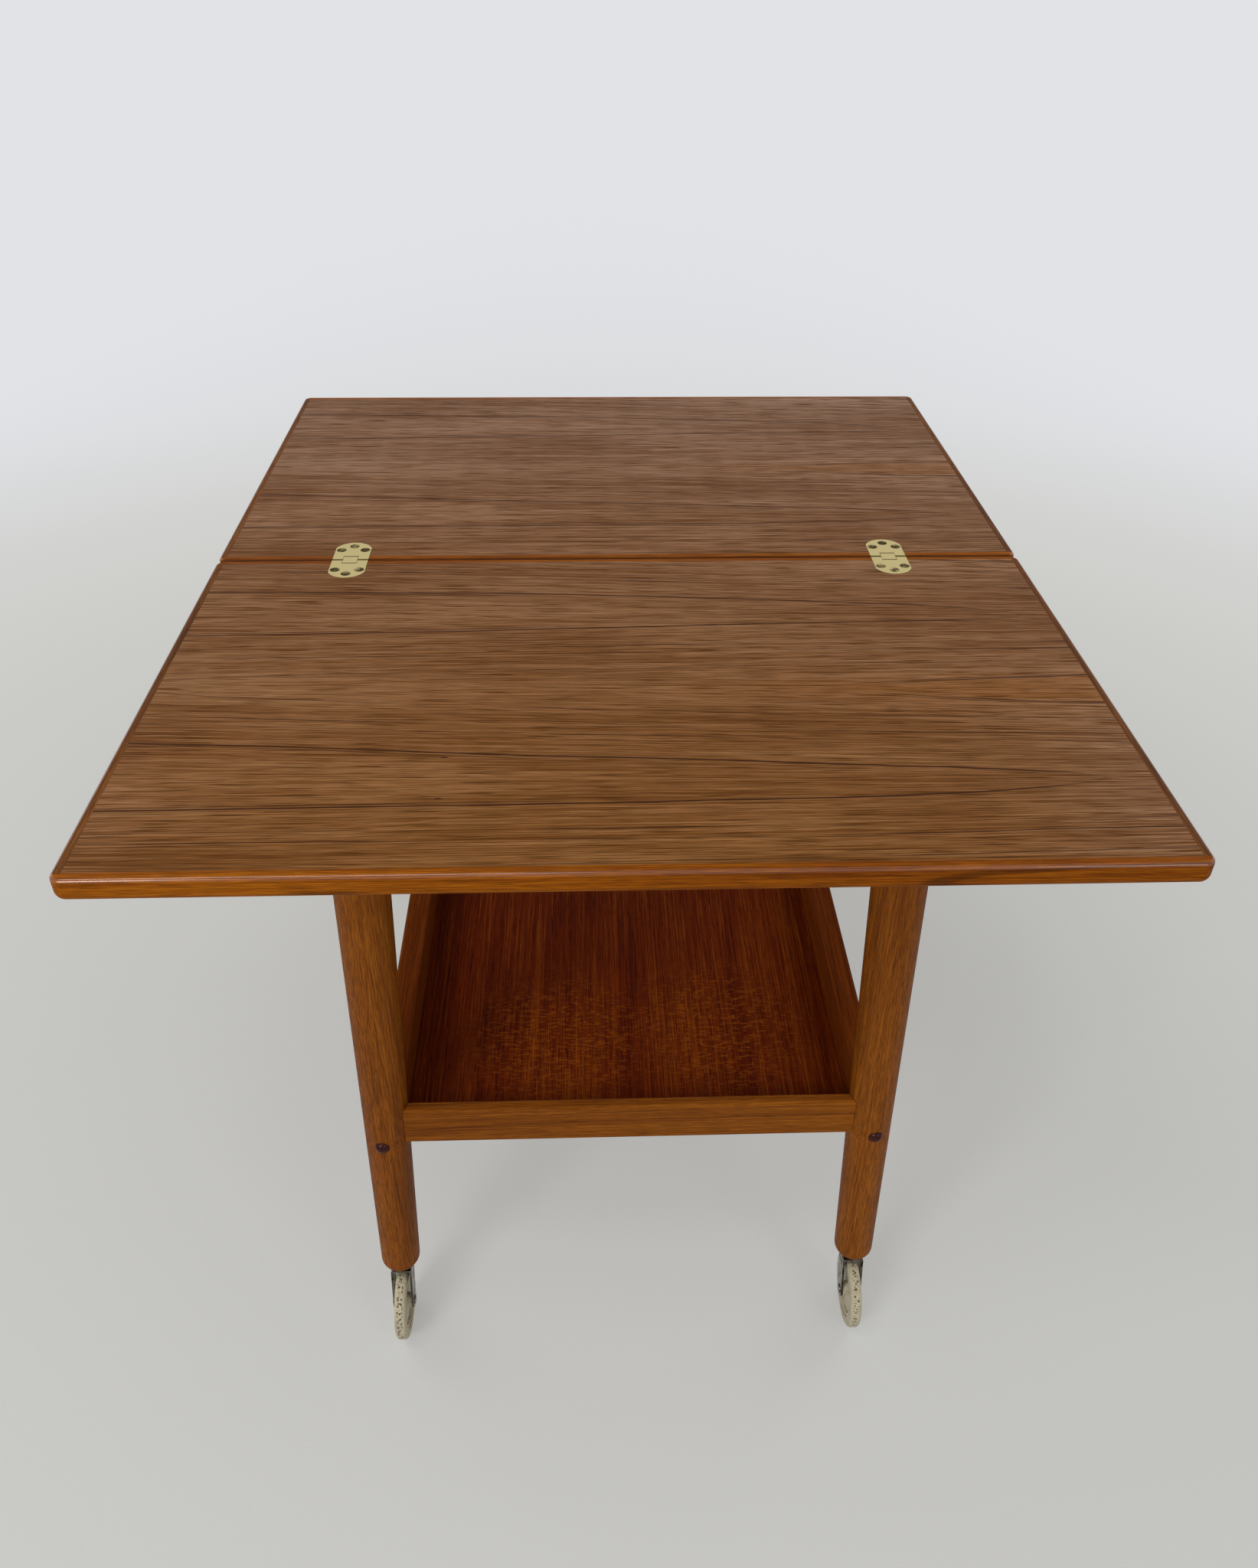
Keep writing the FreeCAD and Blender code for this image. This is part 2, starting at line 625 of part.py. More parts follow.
def bush_radius():
    return PIVOT_BOLT_RADIUS + RUNNING_CLEARANCE + PIVOT_BUSH_WALL


def pivot_rail():
    face = apron_inner_face()
    body = block((-face, face), span(PIVOT_Y, PIVOT_RAIL_WIDTH), (RAIL_BOTTOM, APRON_TOP))
    body = body.fuse([pivot_rail_tenon(side, 0) for side in (-1, 1)])
    bore = rod(bush_radius() + FIT_CLEARANCE, at_pivot(RAIL_BOTTOM - CUT_OVERRUN), at_pivot(LEAF_BOTTOM))
    return body.cut(bore)


def pivot_bush():
    sleeve = rod(bush_radius(), at_pivot(RAIL_BOTTOM), at_pivot(APRON_TOP))
    return sleeve.cut(bolt_room(RUNNING_CLEARANCE))


def felt_pads():
    x, y = rail_line(APRON)
    top = LEAF_BOTTOM - RUNNING_GAP
    places = [(sx * x, sy * (y - FELT_LEG_DISTANCE)) for sx, sy in CORNERS.values()]
    return [rod(FELT_RADIUS, point(px, py, APRON_TOP), point(px, py, top)) for px, py in places]


# Tray
def tray_panel_block(grow):
    """The panel before its corners are cut, or the grooves that it slides into where it is grown."""
    edge = TRAY_GROOVE_DEPTH + grow
    x = rail_inner_face(TRAY_SIDE)[0] + edge
    y = rail_inner_face(TRAY_END)[1] + edge
    return block((-x, x), (-y, y), (TRAY_PANEL_BOTTOM - grow, TRAY_PANEL_TOP + grow))


def tray_panel():
    return tray_panel_block(0).cut([leg_cone(signs, GLUE_GAP) for signs in CORNERS.values()])


def tray_side_rim(side):
    rim = rail_between_legs(TRAY_SIDE, "y", side)
    bores = [tray_screw((side, end), SCREW_CLEARANCE) for end in (-1, 1)]
    return rim.cut([tray_panel_block(GLUE_GAP)] + bores)


def tray_end_rim(side):
    return rail_between_legs(TRAY_END, "x", side).cut(tray_panel_block(GLUE_GAP))


# Screws through the legs into the side rims, and the plugs that hide them
def plug_frame(signs):
    """The plug's place along X, the outermost point of the leg along Y, and the way outwards."""
    leg_x, leg_y = leg_axis(PLUG_HEIGHT)
    return signs[0] * (leg_x + PLUG_SETOUT), leg_y + leg_radius(PLUG_HEIGHT), signs[1]


def inward(signs, depth):
    """A point on the plug's axis, a depth below the leg's surface."""
    x, y, out = plug_frame(signs)
    return point(x, out * (y - depth), PLUG_HEIGHT)


def plug_bore(signs):
    mouth = inward(signs, -CUT_OVERRUN)
    wide = rod(PLUG_RADIUS + FIT_CLEARANCE, mouth, inward(signs, PLUG_BORE_DEPTH))
    return [wide, tray_screw(signs, SCREW_CLEARANCE)]


def tray_screw(signs, grow):
    seat = PLUG_BORE_DEPTH
    top = seat - TRAY_SCREW_HEAD_HEIGHT
    tip = seat + TRAY_SCREW_LENGTH + grow
    head = rod(TRAY_SCREW_HEAD_RADIUS + grow, inward(signs, top), inward(signs, seat))
    shank = rod(TRAY_SCREW_RADIUS + grow, inward(signs, seat), inward(signs, tip))
    return head.fuse(shank)


def leg_plug(signs):
    """A round plug whose end is a dome that stands out of the leg."""
    edge_drop = leg_radius(PLUG_HEIGHT) - math.sqrt(leg_radius(PLUG_HEIGHT) ** 2 - PLUG_RADIUS ** 2)
    inner = inward(signs, PLUG_BORE_DEPTH - TRAY_SCREW_HEAD_HEIGHT - RUNNING_GAP)
    rim = inward(signs, edge_drop)
    body = rod(PLUG_RADIUS, inner, rim)
    height = PLUG_DOME + edge_drop
    ball_radius = (PLUG_RADIUS ** 2 + height ** 2) / (2 * height)
    ball = Part.makeSphere(ball_radius, inward(signs, ball_radius - PLUG_DOME))
    dome = ball.common(rod(PLUG_RADIUS, rim, inward(signs, -PLUG_DOME - CUT_OVERRUN)))
    return body.fuse(dome)


# Castors: each is worked out about its own stem, which stands on the Z axis
def revolved(profile):
    """A closed outline of (radius, offset) points turned about the axle, which runs along X."""
    corners = [point(offset, radius, 0) for radius, offset in profile]
    face = Part.Face(Part.makePolygon(corners + corners[:1]))
    return face.revolve(ORIGIN, FreeCAD.Vector(1, 0, 0), 360)


def on_axle(shape):
    return placed(shape, 0, -CASTOR_TRAIL, WHEEL_RADIUS)


def hub_outer_radius():
    return WHEEL_RADIUS - TYRE_DEPTH


def tyre():
    """A plain ring with a rounded tread."""
    half = TYRE_WIDTH / 2
    inner = hub_outer_radius() + FIT_CLEARANCE
    ring = revolved([(inner, -half), (WHEEL_RADIUS, -half), (WHEEL_RADIUS, half), (inner, half)])
    tread = [edge for edge in ring.Edges if edge.BoundBox.ZMax > WHEEL_RADIUS - TYRE_ROUND
             and edge.BoundBox.XLength < SAME_HEIGHT]
    return on_axle(ring.makeFillet(TYRE_ROUND, tread))


def hub():
    """Rim, thin web and boss, bored for the axle."""
    boss = FORK_GAP / 2 - HUB_SIDE_CLEARANCE
    rim = TYRE_WIDTH / 2 - HUB_RIM_INSET
    web = HUB_WEB_THICKNESS / 2
    bore = AXLE_RADIUS + RUNNING_CLEARANCE
    outer = hub_outer_radius()
    half = [(bore, boss), (HUB_BOSS_RADIUS, boss), (HUB_BOSS_RADIUS, web),
            (outer - HUB_RIM_DEPTH, web), (outer - HUB_RIM_DEPTH, rim), (outer, rim)]
    mirrored = [(radius, -offset) for radius, offset in reversed(half)]
    return on_axle(revolved(half + mirrored))


def axle():
    """A pin riveted over at both cheeks."""
    half = FORK_WIDTH / 2
    end = half + AXLE_HEAD_HEIGHT
    pin = rod(AXLE_RADIUS, point(-half, 0, 0), point(half, 0, 0))
    heads = []
    for side in (-1, 1):
        head = rod(AXLE_HEAD_RADIUS, point(side * half, 0, 0), point(side * end, 0, 0))
        rim = [edge for edge in head.Edges if abs(edge.BoundBox.XMin - side * end) < SAME_HEIGHT
               and edge.BoundBox.XLength < SAME_HEIGHT]
        heads.append(head.makeFillet(AXLE_HEAD_HEIGHT * ROUND_LIMIT_SHARE, rim))
    return on_axle(pin.fuse(heads))


def tangent_point(corner, centre, radius, side):
    """Where a line from a corner touches a circle, both given as (y, z)."""
    dy = corner[0] - centre[0]
    dz = corner[1] - centre[1]
    turn = math.atan2(dz, dy) + side * math.acos(radius / math.hypot(dy, dz))
    return centre[0] + radius * math.cos(turn), centre[1] + radius * math.sin(turn)


def fork():
    """One bent plate: a flat top round the stem and two cheeks that taper to the axle."""
    eye = (-CASTOR_TRAIL, WHEEL_RADIUS)
    half = FORK_PLATE_LENGTH / 2
    corners = [(-half, FORK_TOP), (half, FORK_TOP)]
    touches = [tangent_point(corner, eye, FORK_EYE_RADIUS, turn) for corner, turn in zip(corners, (1, -1))]
    left = -FORK_WIDTH / 2
    ring = [point(left, y, z) for y, z in (corners[0], corners[1], touches[1], touches[0])]
    bottom = point(left, eye[0], eye[1] - FORK_EYE_RADIUS)
    edges = [
        Part.LineSegment(ring[0], ring[1]).toShape(),
        Part.LineSegment(ring[1], ring[2]).toShape(),
        Part.Arc(ring[2], bottom, ring[3]).toShape(),
        Part.LineSegment(ring[3], ring[0]).toShape(),
    ]
    body = Part.Face(Part.Wire(edges)).extrude(point(FORK_WIDTH, 0, 0))
    bends = [edge for edge in level_edges(body, FORK_TOP) if edge.BoundBox.XLength < SAME_HEIGHT]
    body = body.makeFillet(FORK_BEND_ROUND, bends)
    long_room = span(0, FORK_WIDTH + 2 * (CASTOR_TRAIL + WHEEL_RADIUS))
    wheel_room = block(span(0, FORK_GAP), long_room, (0, FORK_PLATE_BOTTOM))
    axle_bore = on_axle(rod(AXLE_RADIUS + FIT_CLEARANCE, point(-FORK_WIDTH, 0, 0), point(FORK_WIDTH, 0, 0)))
    stem_bore = rod(STEM_NECK_RADIUS + FIT_CLEARANCE, ORIGIN, UP * COLLAR_TOP)
    return body.cut([wheel_room, axle_bore, stem_bore])


def stem():
    """The pin that turns in the leg's socket, with a collar above the fork and a riveted end below it."""
    pin_top = COLLAR_TOP + STEM_LENGTH
    pin = rod(STEM_RADIUS, UP * COLLAR_TOP, UP * pin_top)
    pin = pin.makeChamfer(STEM_END_CHAMFER, level_edges(pin, pin_top))
    collar = rod(STEM_COLLAR_RADIUS, UP * FORK_TOP, UP * COLLAR_TOP)
    neck = rod(STEM_NECK_RADIUS, UP * FORK_PLATE_BOTTOM, UP * FORK_TOP)
    rivet = rod(STEM_RIVET_RADIUS, UP * (FORK_PLATE_BOTTOM - STEM_RIVET_HEIGHT), UP * FORK_PLATE_BOTTOM)
    return pin.fuse([collar, neck, rivet])


def socket_radius():
    return STEM_RADIUS + RUNNING_CLEARANCE + SOCKET_WALL


def socket():
    """A sleeve in the leg's foot with a flange under it."""
    sleeve = rod(socket_radius(), UP * FOOT_HEIGHT, UP * (FOOT_HEIGHT + SOCKET_LENGTH))
    flange = rod(SOCKET_FLANGE_RADIUS, UP * SOCKET_BOTTOM, UP * FOOT_HEIGHT)
    bore = rod(STEM_RADIUS + RUNNING_CLEARANCE, ORIGIN, UP * (FOOT_HEIGHT + SOCKET_LENGTH + CUT_OVERRUN))
    return sleeve.fuse(flange).cut(bore)


def at_foot(shape, signs):
    x, y = leg_axis(FOOT_HEIGHT)
    return placed(shape, signs[0] * x, signs[1] * y, 0)


def socket_bore(signs):
    bore = rod(socket_radius() + FIT_CLEARANCE, ORIGIN, UP * (FOOT_HEIGHT + SOCKET_LENGTH))
    return at_foot(bore, signs)


def write_frame():
    for name, signs in CORNERS.items():
        save("leg_" + name, leg(signs))
    for name, side in (("left", -1), ("right", 1)):
        save("side_apron_" + name, side_apron(side))
        save("tray_side_rim_" + name, tray_side_rim(side))
    for name, side in (("front", -1), ("back", 1)):
        save("end_apron_" + name, end_apron(side))
        save("tray_end_rim_" + name, tray_end_rim(side))
    save("tray_panel", tray_panel())
    save("tray_screws", *[tray_screw(signs, 0) for signs in CORNERS.values()])
    save("leg_plugs", *[leg_plug(signs) for signs in CORNERS.values()])
    save("pivot_rail", pivot_rail())
    save("pivot_bush", pivot_bush())
    save("felt_pads", *felt_pads())
    save("castor_sockets", *[at_foot(socket(), signs) for signs in CORNERS.values()])


def write_top():
    hinge_cuts = at_both_hinges(hinge_pocket())
    write_leaf("swivel_leaf", hinge_cuts + swivel_cuts(), placed_as_made)
    write_leaf("flap", hinge_cuts, half_turned)
    save("hinge_links", *at_both_hinges([hinge_link()]))
    save("hinge_pins", *at_both_hinges(hinge_pins()))
    save("pivot_plate", pivot_plate())
    save("pivot_plate_screws", *under_leaf(countersunk_screw(*pivot_screw_sizes())))
    save("pivot_bolt", pivot_bolt())
    save("pivot_washer", pivot_washer())
    save("pivot_nut", pivot_nut())
    save("stop_dowels", *stop_dowels(0))


def placed_as_made(shape):
    return shape


def write_castors():
    pieces = {"fork": fork(), "stem": stem(), "axle": axle(), "tyre": tyre(), "hub": hub()}
    for corner, signs in CORNERS.items():
        for piece, shape in pieces.items():
            save("castor_" + corner + "_" + piece, at_foot(shape, signs))


os.makedirs("parts", exist_ok=True)
write_frame()
write_top()
write_castors()
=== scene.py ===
import math
from collections import namedtuple

import bmesh
import bpy
from bpy.props import FloatProperty, FloatVectorProperty, IntProperty, PointerProperty
from bpy.types import Operator, Panel, PropertyGroup
from mathutils import Matrix, Vector


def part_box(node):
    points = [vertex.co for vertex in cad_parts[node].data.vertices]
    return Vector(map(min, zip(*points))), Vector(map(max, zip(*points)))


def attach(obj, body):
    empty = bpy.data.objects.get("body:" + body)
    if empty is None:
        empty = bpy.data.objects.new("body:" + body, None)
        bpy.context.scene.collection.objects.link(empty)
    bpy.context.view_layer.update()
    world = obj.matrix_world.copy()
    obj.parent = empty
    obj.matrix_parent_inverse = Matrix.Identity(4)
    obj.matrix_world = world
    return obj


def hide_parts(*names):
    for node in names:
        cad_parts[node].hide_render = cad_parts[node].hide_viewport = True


bl_info = {
    "name": "Tea trolley with a fold-over top",
    "version": (1, 0, 0),
    "blender": (4, 5, 0),
    "location": "3D View > Sidebar > Tea trolley",
    "description": "Gives the trolley its woods, brass and castors, and sets up a plain studio",
    "category": "Object",
}

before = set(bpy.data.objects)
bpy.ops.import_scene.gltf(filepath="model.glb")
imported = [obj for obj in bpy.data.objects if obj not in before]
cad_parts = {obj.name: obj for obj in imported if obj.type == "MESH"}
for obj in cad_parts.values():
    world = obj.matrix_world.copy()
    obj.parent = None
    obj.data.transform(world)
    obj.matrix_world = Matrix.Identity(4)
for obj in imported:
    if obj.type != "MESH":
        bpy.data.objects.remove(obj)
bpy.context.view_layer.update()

CORNERS = ("front_left", "front_right", "back_left", "back_right")
LEAVES = ("swivel_leaf", "flap")
TRAY_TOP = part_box("tray_panel")[1].z
LEAF_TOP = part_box("flap_panel")[1].z
IN_PLACE = (0.0, 0.0, 0.0)

# Shares of soft bands, fine streaks and clouds in a wood's tone, and the middle of that tone
BAND_SHARE = 0.24
STREAK_SHARE = 0.54
CLOUD_SHARE = 0.22
MID_TONE = 0.5
# Where a pore starts and where it is fully open, in the noise that scatters pores
PORE_EDGE = (0.55, 0.67)
# How strong a small pore is beside a large one
SMALL_PORE_SHARE = 0.6
# How steeply the veneer's rings climb where their lines are faintest and where they are full
FLAT_RINGS = 0.06
STEEP_RINGS = 0.40
# Bends to the metre in the veneer's figure and in its single rings: along, across and through the leaf
FIGURE_BENDS = (2.2, 7.0, 1.0)
RING_BENDS = (14.0, 60.0, 1.0)
# How much of a dark line's width is fully dark
LINE_CORE = 0.3
# How far the painted shade in the joint between the leaves hides the wood
JOINT_SHADE_SHARE = 0.92

Tones = namedtuple("Tones", "pale mid dark pore")
# The stain field, where there is one, is how far it shows and its colour. It carries the veneer's paler
# heart, the tray's flecks, and the painted shade in the flap's joint.
Wood = namedtuple("Wood", "tones spread veins pores pore_share gloss stain sheen", defaults=(None, 0.0))
# The pith is the middle of the board's tree, and it leans along the board
Board = namedtuple("Board", "along pith_across pith_depth lean_across lean_depth shift",
                   defaults=(0.0, IN_PLACE))


def linear(value):
    """A screen value from 0 to 255 as the light that it stands for."""
    share = value / 255
    if share <= 0.04045:
        return share / 12.92
    return ((share + 0.055) / 1.055) ** 2.4


def colour(label, use, red, green, blue):
    """A colour property, its default written as screen values."""
    shown = (linear(red), linear(green), linear(blue), 1.0)
    return FloatVectorProperty(name=label, description=use, subtype="COLOR", size=4, min=0, max=1,
                               default=shown)


def length(label, use, metres):
    """A length property in metres."""
    return FloatProperty(name=label, description=use, subtype="DISTANCE", unit="LENGTH", precision=5,
                         default=metres)


def share(label, use, value):
    """A property that is a plain share."""
    return FloatProperty(name=label, description=use, subtype="FACTOR", default=value, precision=3)


def watts(label, use, value):
    """A lamp's power in watts."""
    return FloatProperty(name=label, description=use, unit="POWER", default=value)


def radians(label, use, value):
    """An angle property in radians."""
    return FloatProperty(name=label, description=use, subtype="ANGLE", unit="ROTATION", default=value)


class TrolleyColours(PropertyGroup):
    """Colours of the woods, metals, wheels and felt."""

    veneer_pale: colour("Veneer, pale", "Early wood on the leaves", 146, 96, 41)
    veneer_mid: colour("Veneer", "Ground colour of the leaves", 126, 78, 27)
    veneer_dark: colour("Veneer, dark", "Late wood on the leaves", 96, 54, 13)
    # The veneer's pore colour also colours the painted shade in the flap's joint
    veneer_pore: colour("Veneer pores", "Open pores and veins on the leaves", 46, 21, 7)
    veneer_heart: colour("Veneer heart", "Paler wood in the heart of the figure", 152, 95, 35)
    end_pale: colour("End lippings, pale", "Early wood on the end lippings", 130, 80, 34)
    end_mid: colour("End lippings", "Ground colour of the end lippings", 110, 64, 25)
    end_dark: colour("End lippings, dark", "Late wood on the end lippings", 82, 45, 17)
    lipping_pale: colour("Long lippings, pale", "Early wood on the long lippings", 162, 92, 16)
    lipping_mid: colour("Long lippings", "Ground colour of the long lippings", 140, 74, 8)
    lipping_dark: colour("Long lippings, dark", "Late wood on the long lippings", 110, 52, 5)
    frame_pale: colour("Frame, pale", "Early wood on the legs, aprons and end rims", 158, 92, 24)
    frame_mid: colour("Frame", "Ground colour of the legs, aprons and end rims", 134, 73, 16)
    frame_dark: colour("Frame, dark", "Late wood on the legs, aprons and end rims", 100, 49, 10)
    # The side rims' tones are the frame's teak made darker and redder: painted shade, as the rims stand in
    # the shade under the top
    rim_pale: colour("Side rims, pale", "Early wood on the tray's side rims", 134, 68, 15)
    rim_mid: colour("Side rims", "Ground colour of the tray's side rims", 112, 50, 9)
    rim_dark: colour("Side rims, dark", "Late wood on the tray's side rims", 86, 34, 6)
    tray_pale: colour("Tray, pale", "Early wood and flecks on the tray panel", 154, 77, 16)
    tray_mid: colour("Tray", "Ground colour of the tray panel", 112, 40, 7)
    tray_dark: colour("Tray, dark", "Late wood on the tray panel", 74, 17, 4)
    tray_pore: colour("Tray pores", "Open pores on the tray panel", 34, 6, 2)
    plug_pale: colour("Plug, pale", "Streaks in the dark plugs", 78, 24, 13)
    plug_dark: colour("Plug", "Ground colour of the dark plugs", 40, 10, 6)
    beech_pale: colour("Beech, pale", "Ground colour of the pivot rail and dowels", 196, 158, 116)
    beech_dark: colour("Beech, dark", "Flecks in the pivot rail and dowels", 150, 108, 70)
    brass_pale: colour("Brass", "Rubbed brass of the hinges", 210, 192, 128)
    # The dull brass also colours the painted shade on the brass's rounded edges and screw slots
    brass_dark: colour("Brass, dull", "Tarnish on the brass and in its grooves", 84, 70, 36)
    nickel_pale: colour("Nickel", "Plating of the castors where it is whole", 118, 113, 104)
    nickel_worn: colour("Nickel, worn", "Dull and spotted plating", 40, 34, 28)
    zinc_pale: colour("Zinc", "Plated pivot parts and tray screws", 184, 186, 190)
    zinc_dark: colour("Zinc, dull", "Dull patches on the plated parts", 128, 130, 134)
    tyre: colour("Tyre", "Cream rubber of the wheels", 188, 179, 150)
    tyre_dirt: colour("Tyre, soiled", "Dirt on the wheels and in their pits", 80, 66, 48)
    hub: colour("Hub", "Cream core of the wheels", 196, 186, 160)
    felt: colour("Felt", "Ground colour of the felt pads", 56, 72, 54)
    felt_pale: colour("Felt, pale", "Loose fibres on the felt pads", 92, 106, 84)


class TrolleySizes(PropertyGroup):
    """Sizes of the woods' figure, the surface marks and the felt pads."""

    figure_repeat: length("Figure repeat", "From one crown of the veneer's figure to the next", 0.230)
    figure_rise: length("Figure rise", "How far the rings climb from a crown to the valley beside it", 0.078)
    figure_place: length("Figure place", "First crown's distance from the leaf's near edge", 0.0965)
    figure_taper: share("Figure taper", "How fast the rings climb along the leaf", 0.030)
    figure_skew: share("Figure skew", "How far the crowns lean across the leaf", 0.022)
    figure_wander: length("Figure wander", "How far the figure strays across the leaf", 0.018)
    ring_wander: length("Ring wander", "How far a single ring of the veneer strays", 0.0012)
    crown_ring: length("Crown ring", "Dark ring that ends in the crowns' tips", 0.0095)
    heart_ring: length("Heart ring", "Dark ring round the figure's paler heart", 0.0824)
    heart_fade: length("Heart fade", "How far the heart takes to turn pale", 0.006)
    knot_length: length("Knot length", "Half the length of a pin knot in the veneer", 0.0040)
    knot_width: length("Knot width", "Half the width of a pin knot in the veneer", 0.0013)
    board_wander: length("Board wander", "How far the rings of a sawn board stray", 0.016)
    vein_gap: length("Vein gap", "From one dark line in the wood to the next", 0.012)
    vein_width: length("Vein width", "Half the thickness of a dark line in the wood", 0.0007)
    band_width: length("Band width", "Width of the soft bands in the wood", 0.010)
    streak_length: length("Streak length", "Length of the fine streaks", 0.110)
    streak_width: length("Streak width", "Width of the fine streaks", 0.0011)
    pore_length: length("Pore length", "Length of a large open pore", 0.040)
    pore_width: length("Pore width", "Width of a large open pore", 0.0009)
    fleck_length: length("Fleck length", "Length of the tray panel's flecks, across its grain", 0.008)
    fleck_width: length("Fleck width", "Width of the tray panel's flecks", 0.0022)
    fleck_reach: length("Fleck reach", "How far a patch of flecks spreads over the tray panel", 0.11)
    # Painted shade of the gap between the leaves, laid on the flap's edge near its top
    joint_shade: length("Joint grime", "How far grime spreads over the flap's edge at the joint", 0.0040)
    relief: length("Grain relief", "Depth of the open grain", 0.00014)
    leg_lean_x: share("Leg lean, sideways", "A leg's lean for its height, along the hinge line", 0.029)
    leg_lean_y: share("Leg lean, endways", "A leg's lean for its height, across the hinge line", 0.034)
    leg_pith: length("Leg pith", "From a leg's middle to the middle of its tree", 0.035)
    felt_edge: length("Felt edge", "How ragged the felt pads' cut edge is", 0.0002)
    felt_segments: IntProperty(name="Felt segments", description="Points round a pad", min=12, default=48)


class TrolleyStudio(PropertyGroup):
    """Floor, backdrop, lamps and camera."""

    floor: colour("Floor", "Colour of the plain floor", 207, 207, 204)
    wall: colour("Wall", "Colour of the plain backdrop", 226, 227, 231)
    floor_reach: length("Floor reach", "From the trolley to the floor's near and side edges", 7.0)
    wall_distance: length("Wall distance", "From the trolley to the backdrop", 2.8)
    wall_height: length("Wall height", "Height of the backdrop", 4.0)
    cove_radius: length("Cove radius", "Bend between the floor and the backdrop", 0.9)
    shadow_share: share("Shadow share", "How much of the shadow shows on the floor", 0.55)
    shadow_start: length("Shadow start", "From the trolley to where its shadow starts to fade", 0.70)
    shadow_end: length("Shadow end", "From the trolley to where its shadow has gone", 1.70)
    wall_start: length("Wall start", "From the trolley to where the floor takes on the wall's tone", 1.40)
    ambient: share("Ambient", "Strength of the even light from all round", 0.50)
    key_power: watts("Key power", "Long lamp above the near left", 9)
    left_power: watts("Left power", "Soft lamp at the front left", 27)
    right_power: watts("Right power", "Soft lamp at the front right", 7)
    back_power: watts("Back power", "Each soft lamp behind", 11)
    camera_place: FloatVectorProperty(name="Camera place", description="Where the camera stands",
                                      subtype="XYZ", unit="LENGTH", default=(-0.0309, -0.9888, 1.0912))
    camera_pitch: radians("Camera pitch", "How far it looks down", 0.62604818)
    camera_yaw: radians("Camera yaw", "How far it looks to the right", 0.04039401)
    camera_roll: radians("Camera roll", "How far it is tipped", 0.01101029)
    camera_lens: FloatProperty(name="Lens", description="Focal length in millimetres", default=28.27)


class NodeMaker:
    """Short ways to add nodes to a material or to the world."""

    def __init__(self, tree):
        self.tree = tree
        tree.nodes.clear()

    def add(self, kind, inputs, **settings):
        """A node whose sockets are filled from values or from other sockets."""
        node = self.tree.nodes.new(kind)
        for name, value in settings.items():
            setattr(node, name, value)
        for name, value in inputs.items():
            if isinstance(value, bpy.types.NodeSocket):
                self.tree.links.new(value, node.inputs[name])
            else:
                node.inputs[name].default_value = value
        return node

    def calc(self, operation, *values):
        return self.add("ShaderNodeMath", dict(enumerate(values)), operation=operation).outputs[0]

    def times(self, first, second):
        return self.calc("MULTIPLY", first, second)

    def minus(self, first, second):
        return self.calc("SUBTRACT", first, second)

    def larger(self, first, second):
        return self.calc("MAXIMUM", first, second)

    def weighted(self, value, weight, base):
        """The base, plus the value times its weight."""
        return self.calc("MULTIPLY_ADD", value, weight, base)

    def seen(self):
        """1 where the camera, a reflection or a look through glass meets the surface."""
        path = self.add("ShaderNodeLightPath", {}).outputs
        either = self.larger(path["Is Camera Ray"], path["Is Glossy Ray"])
        return self.larger(either, path["Is Transmission Ray"])


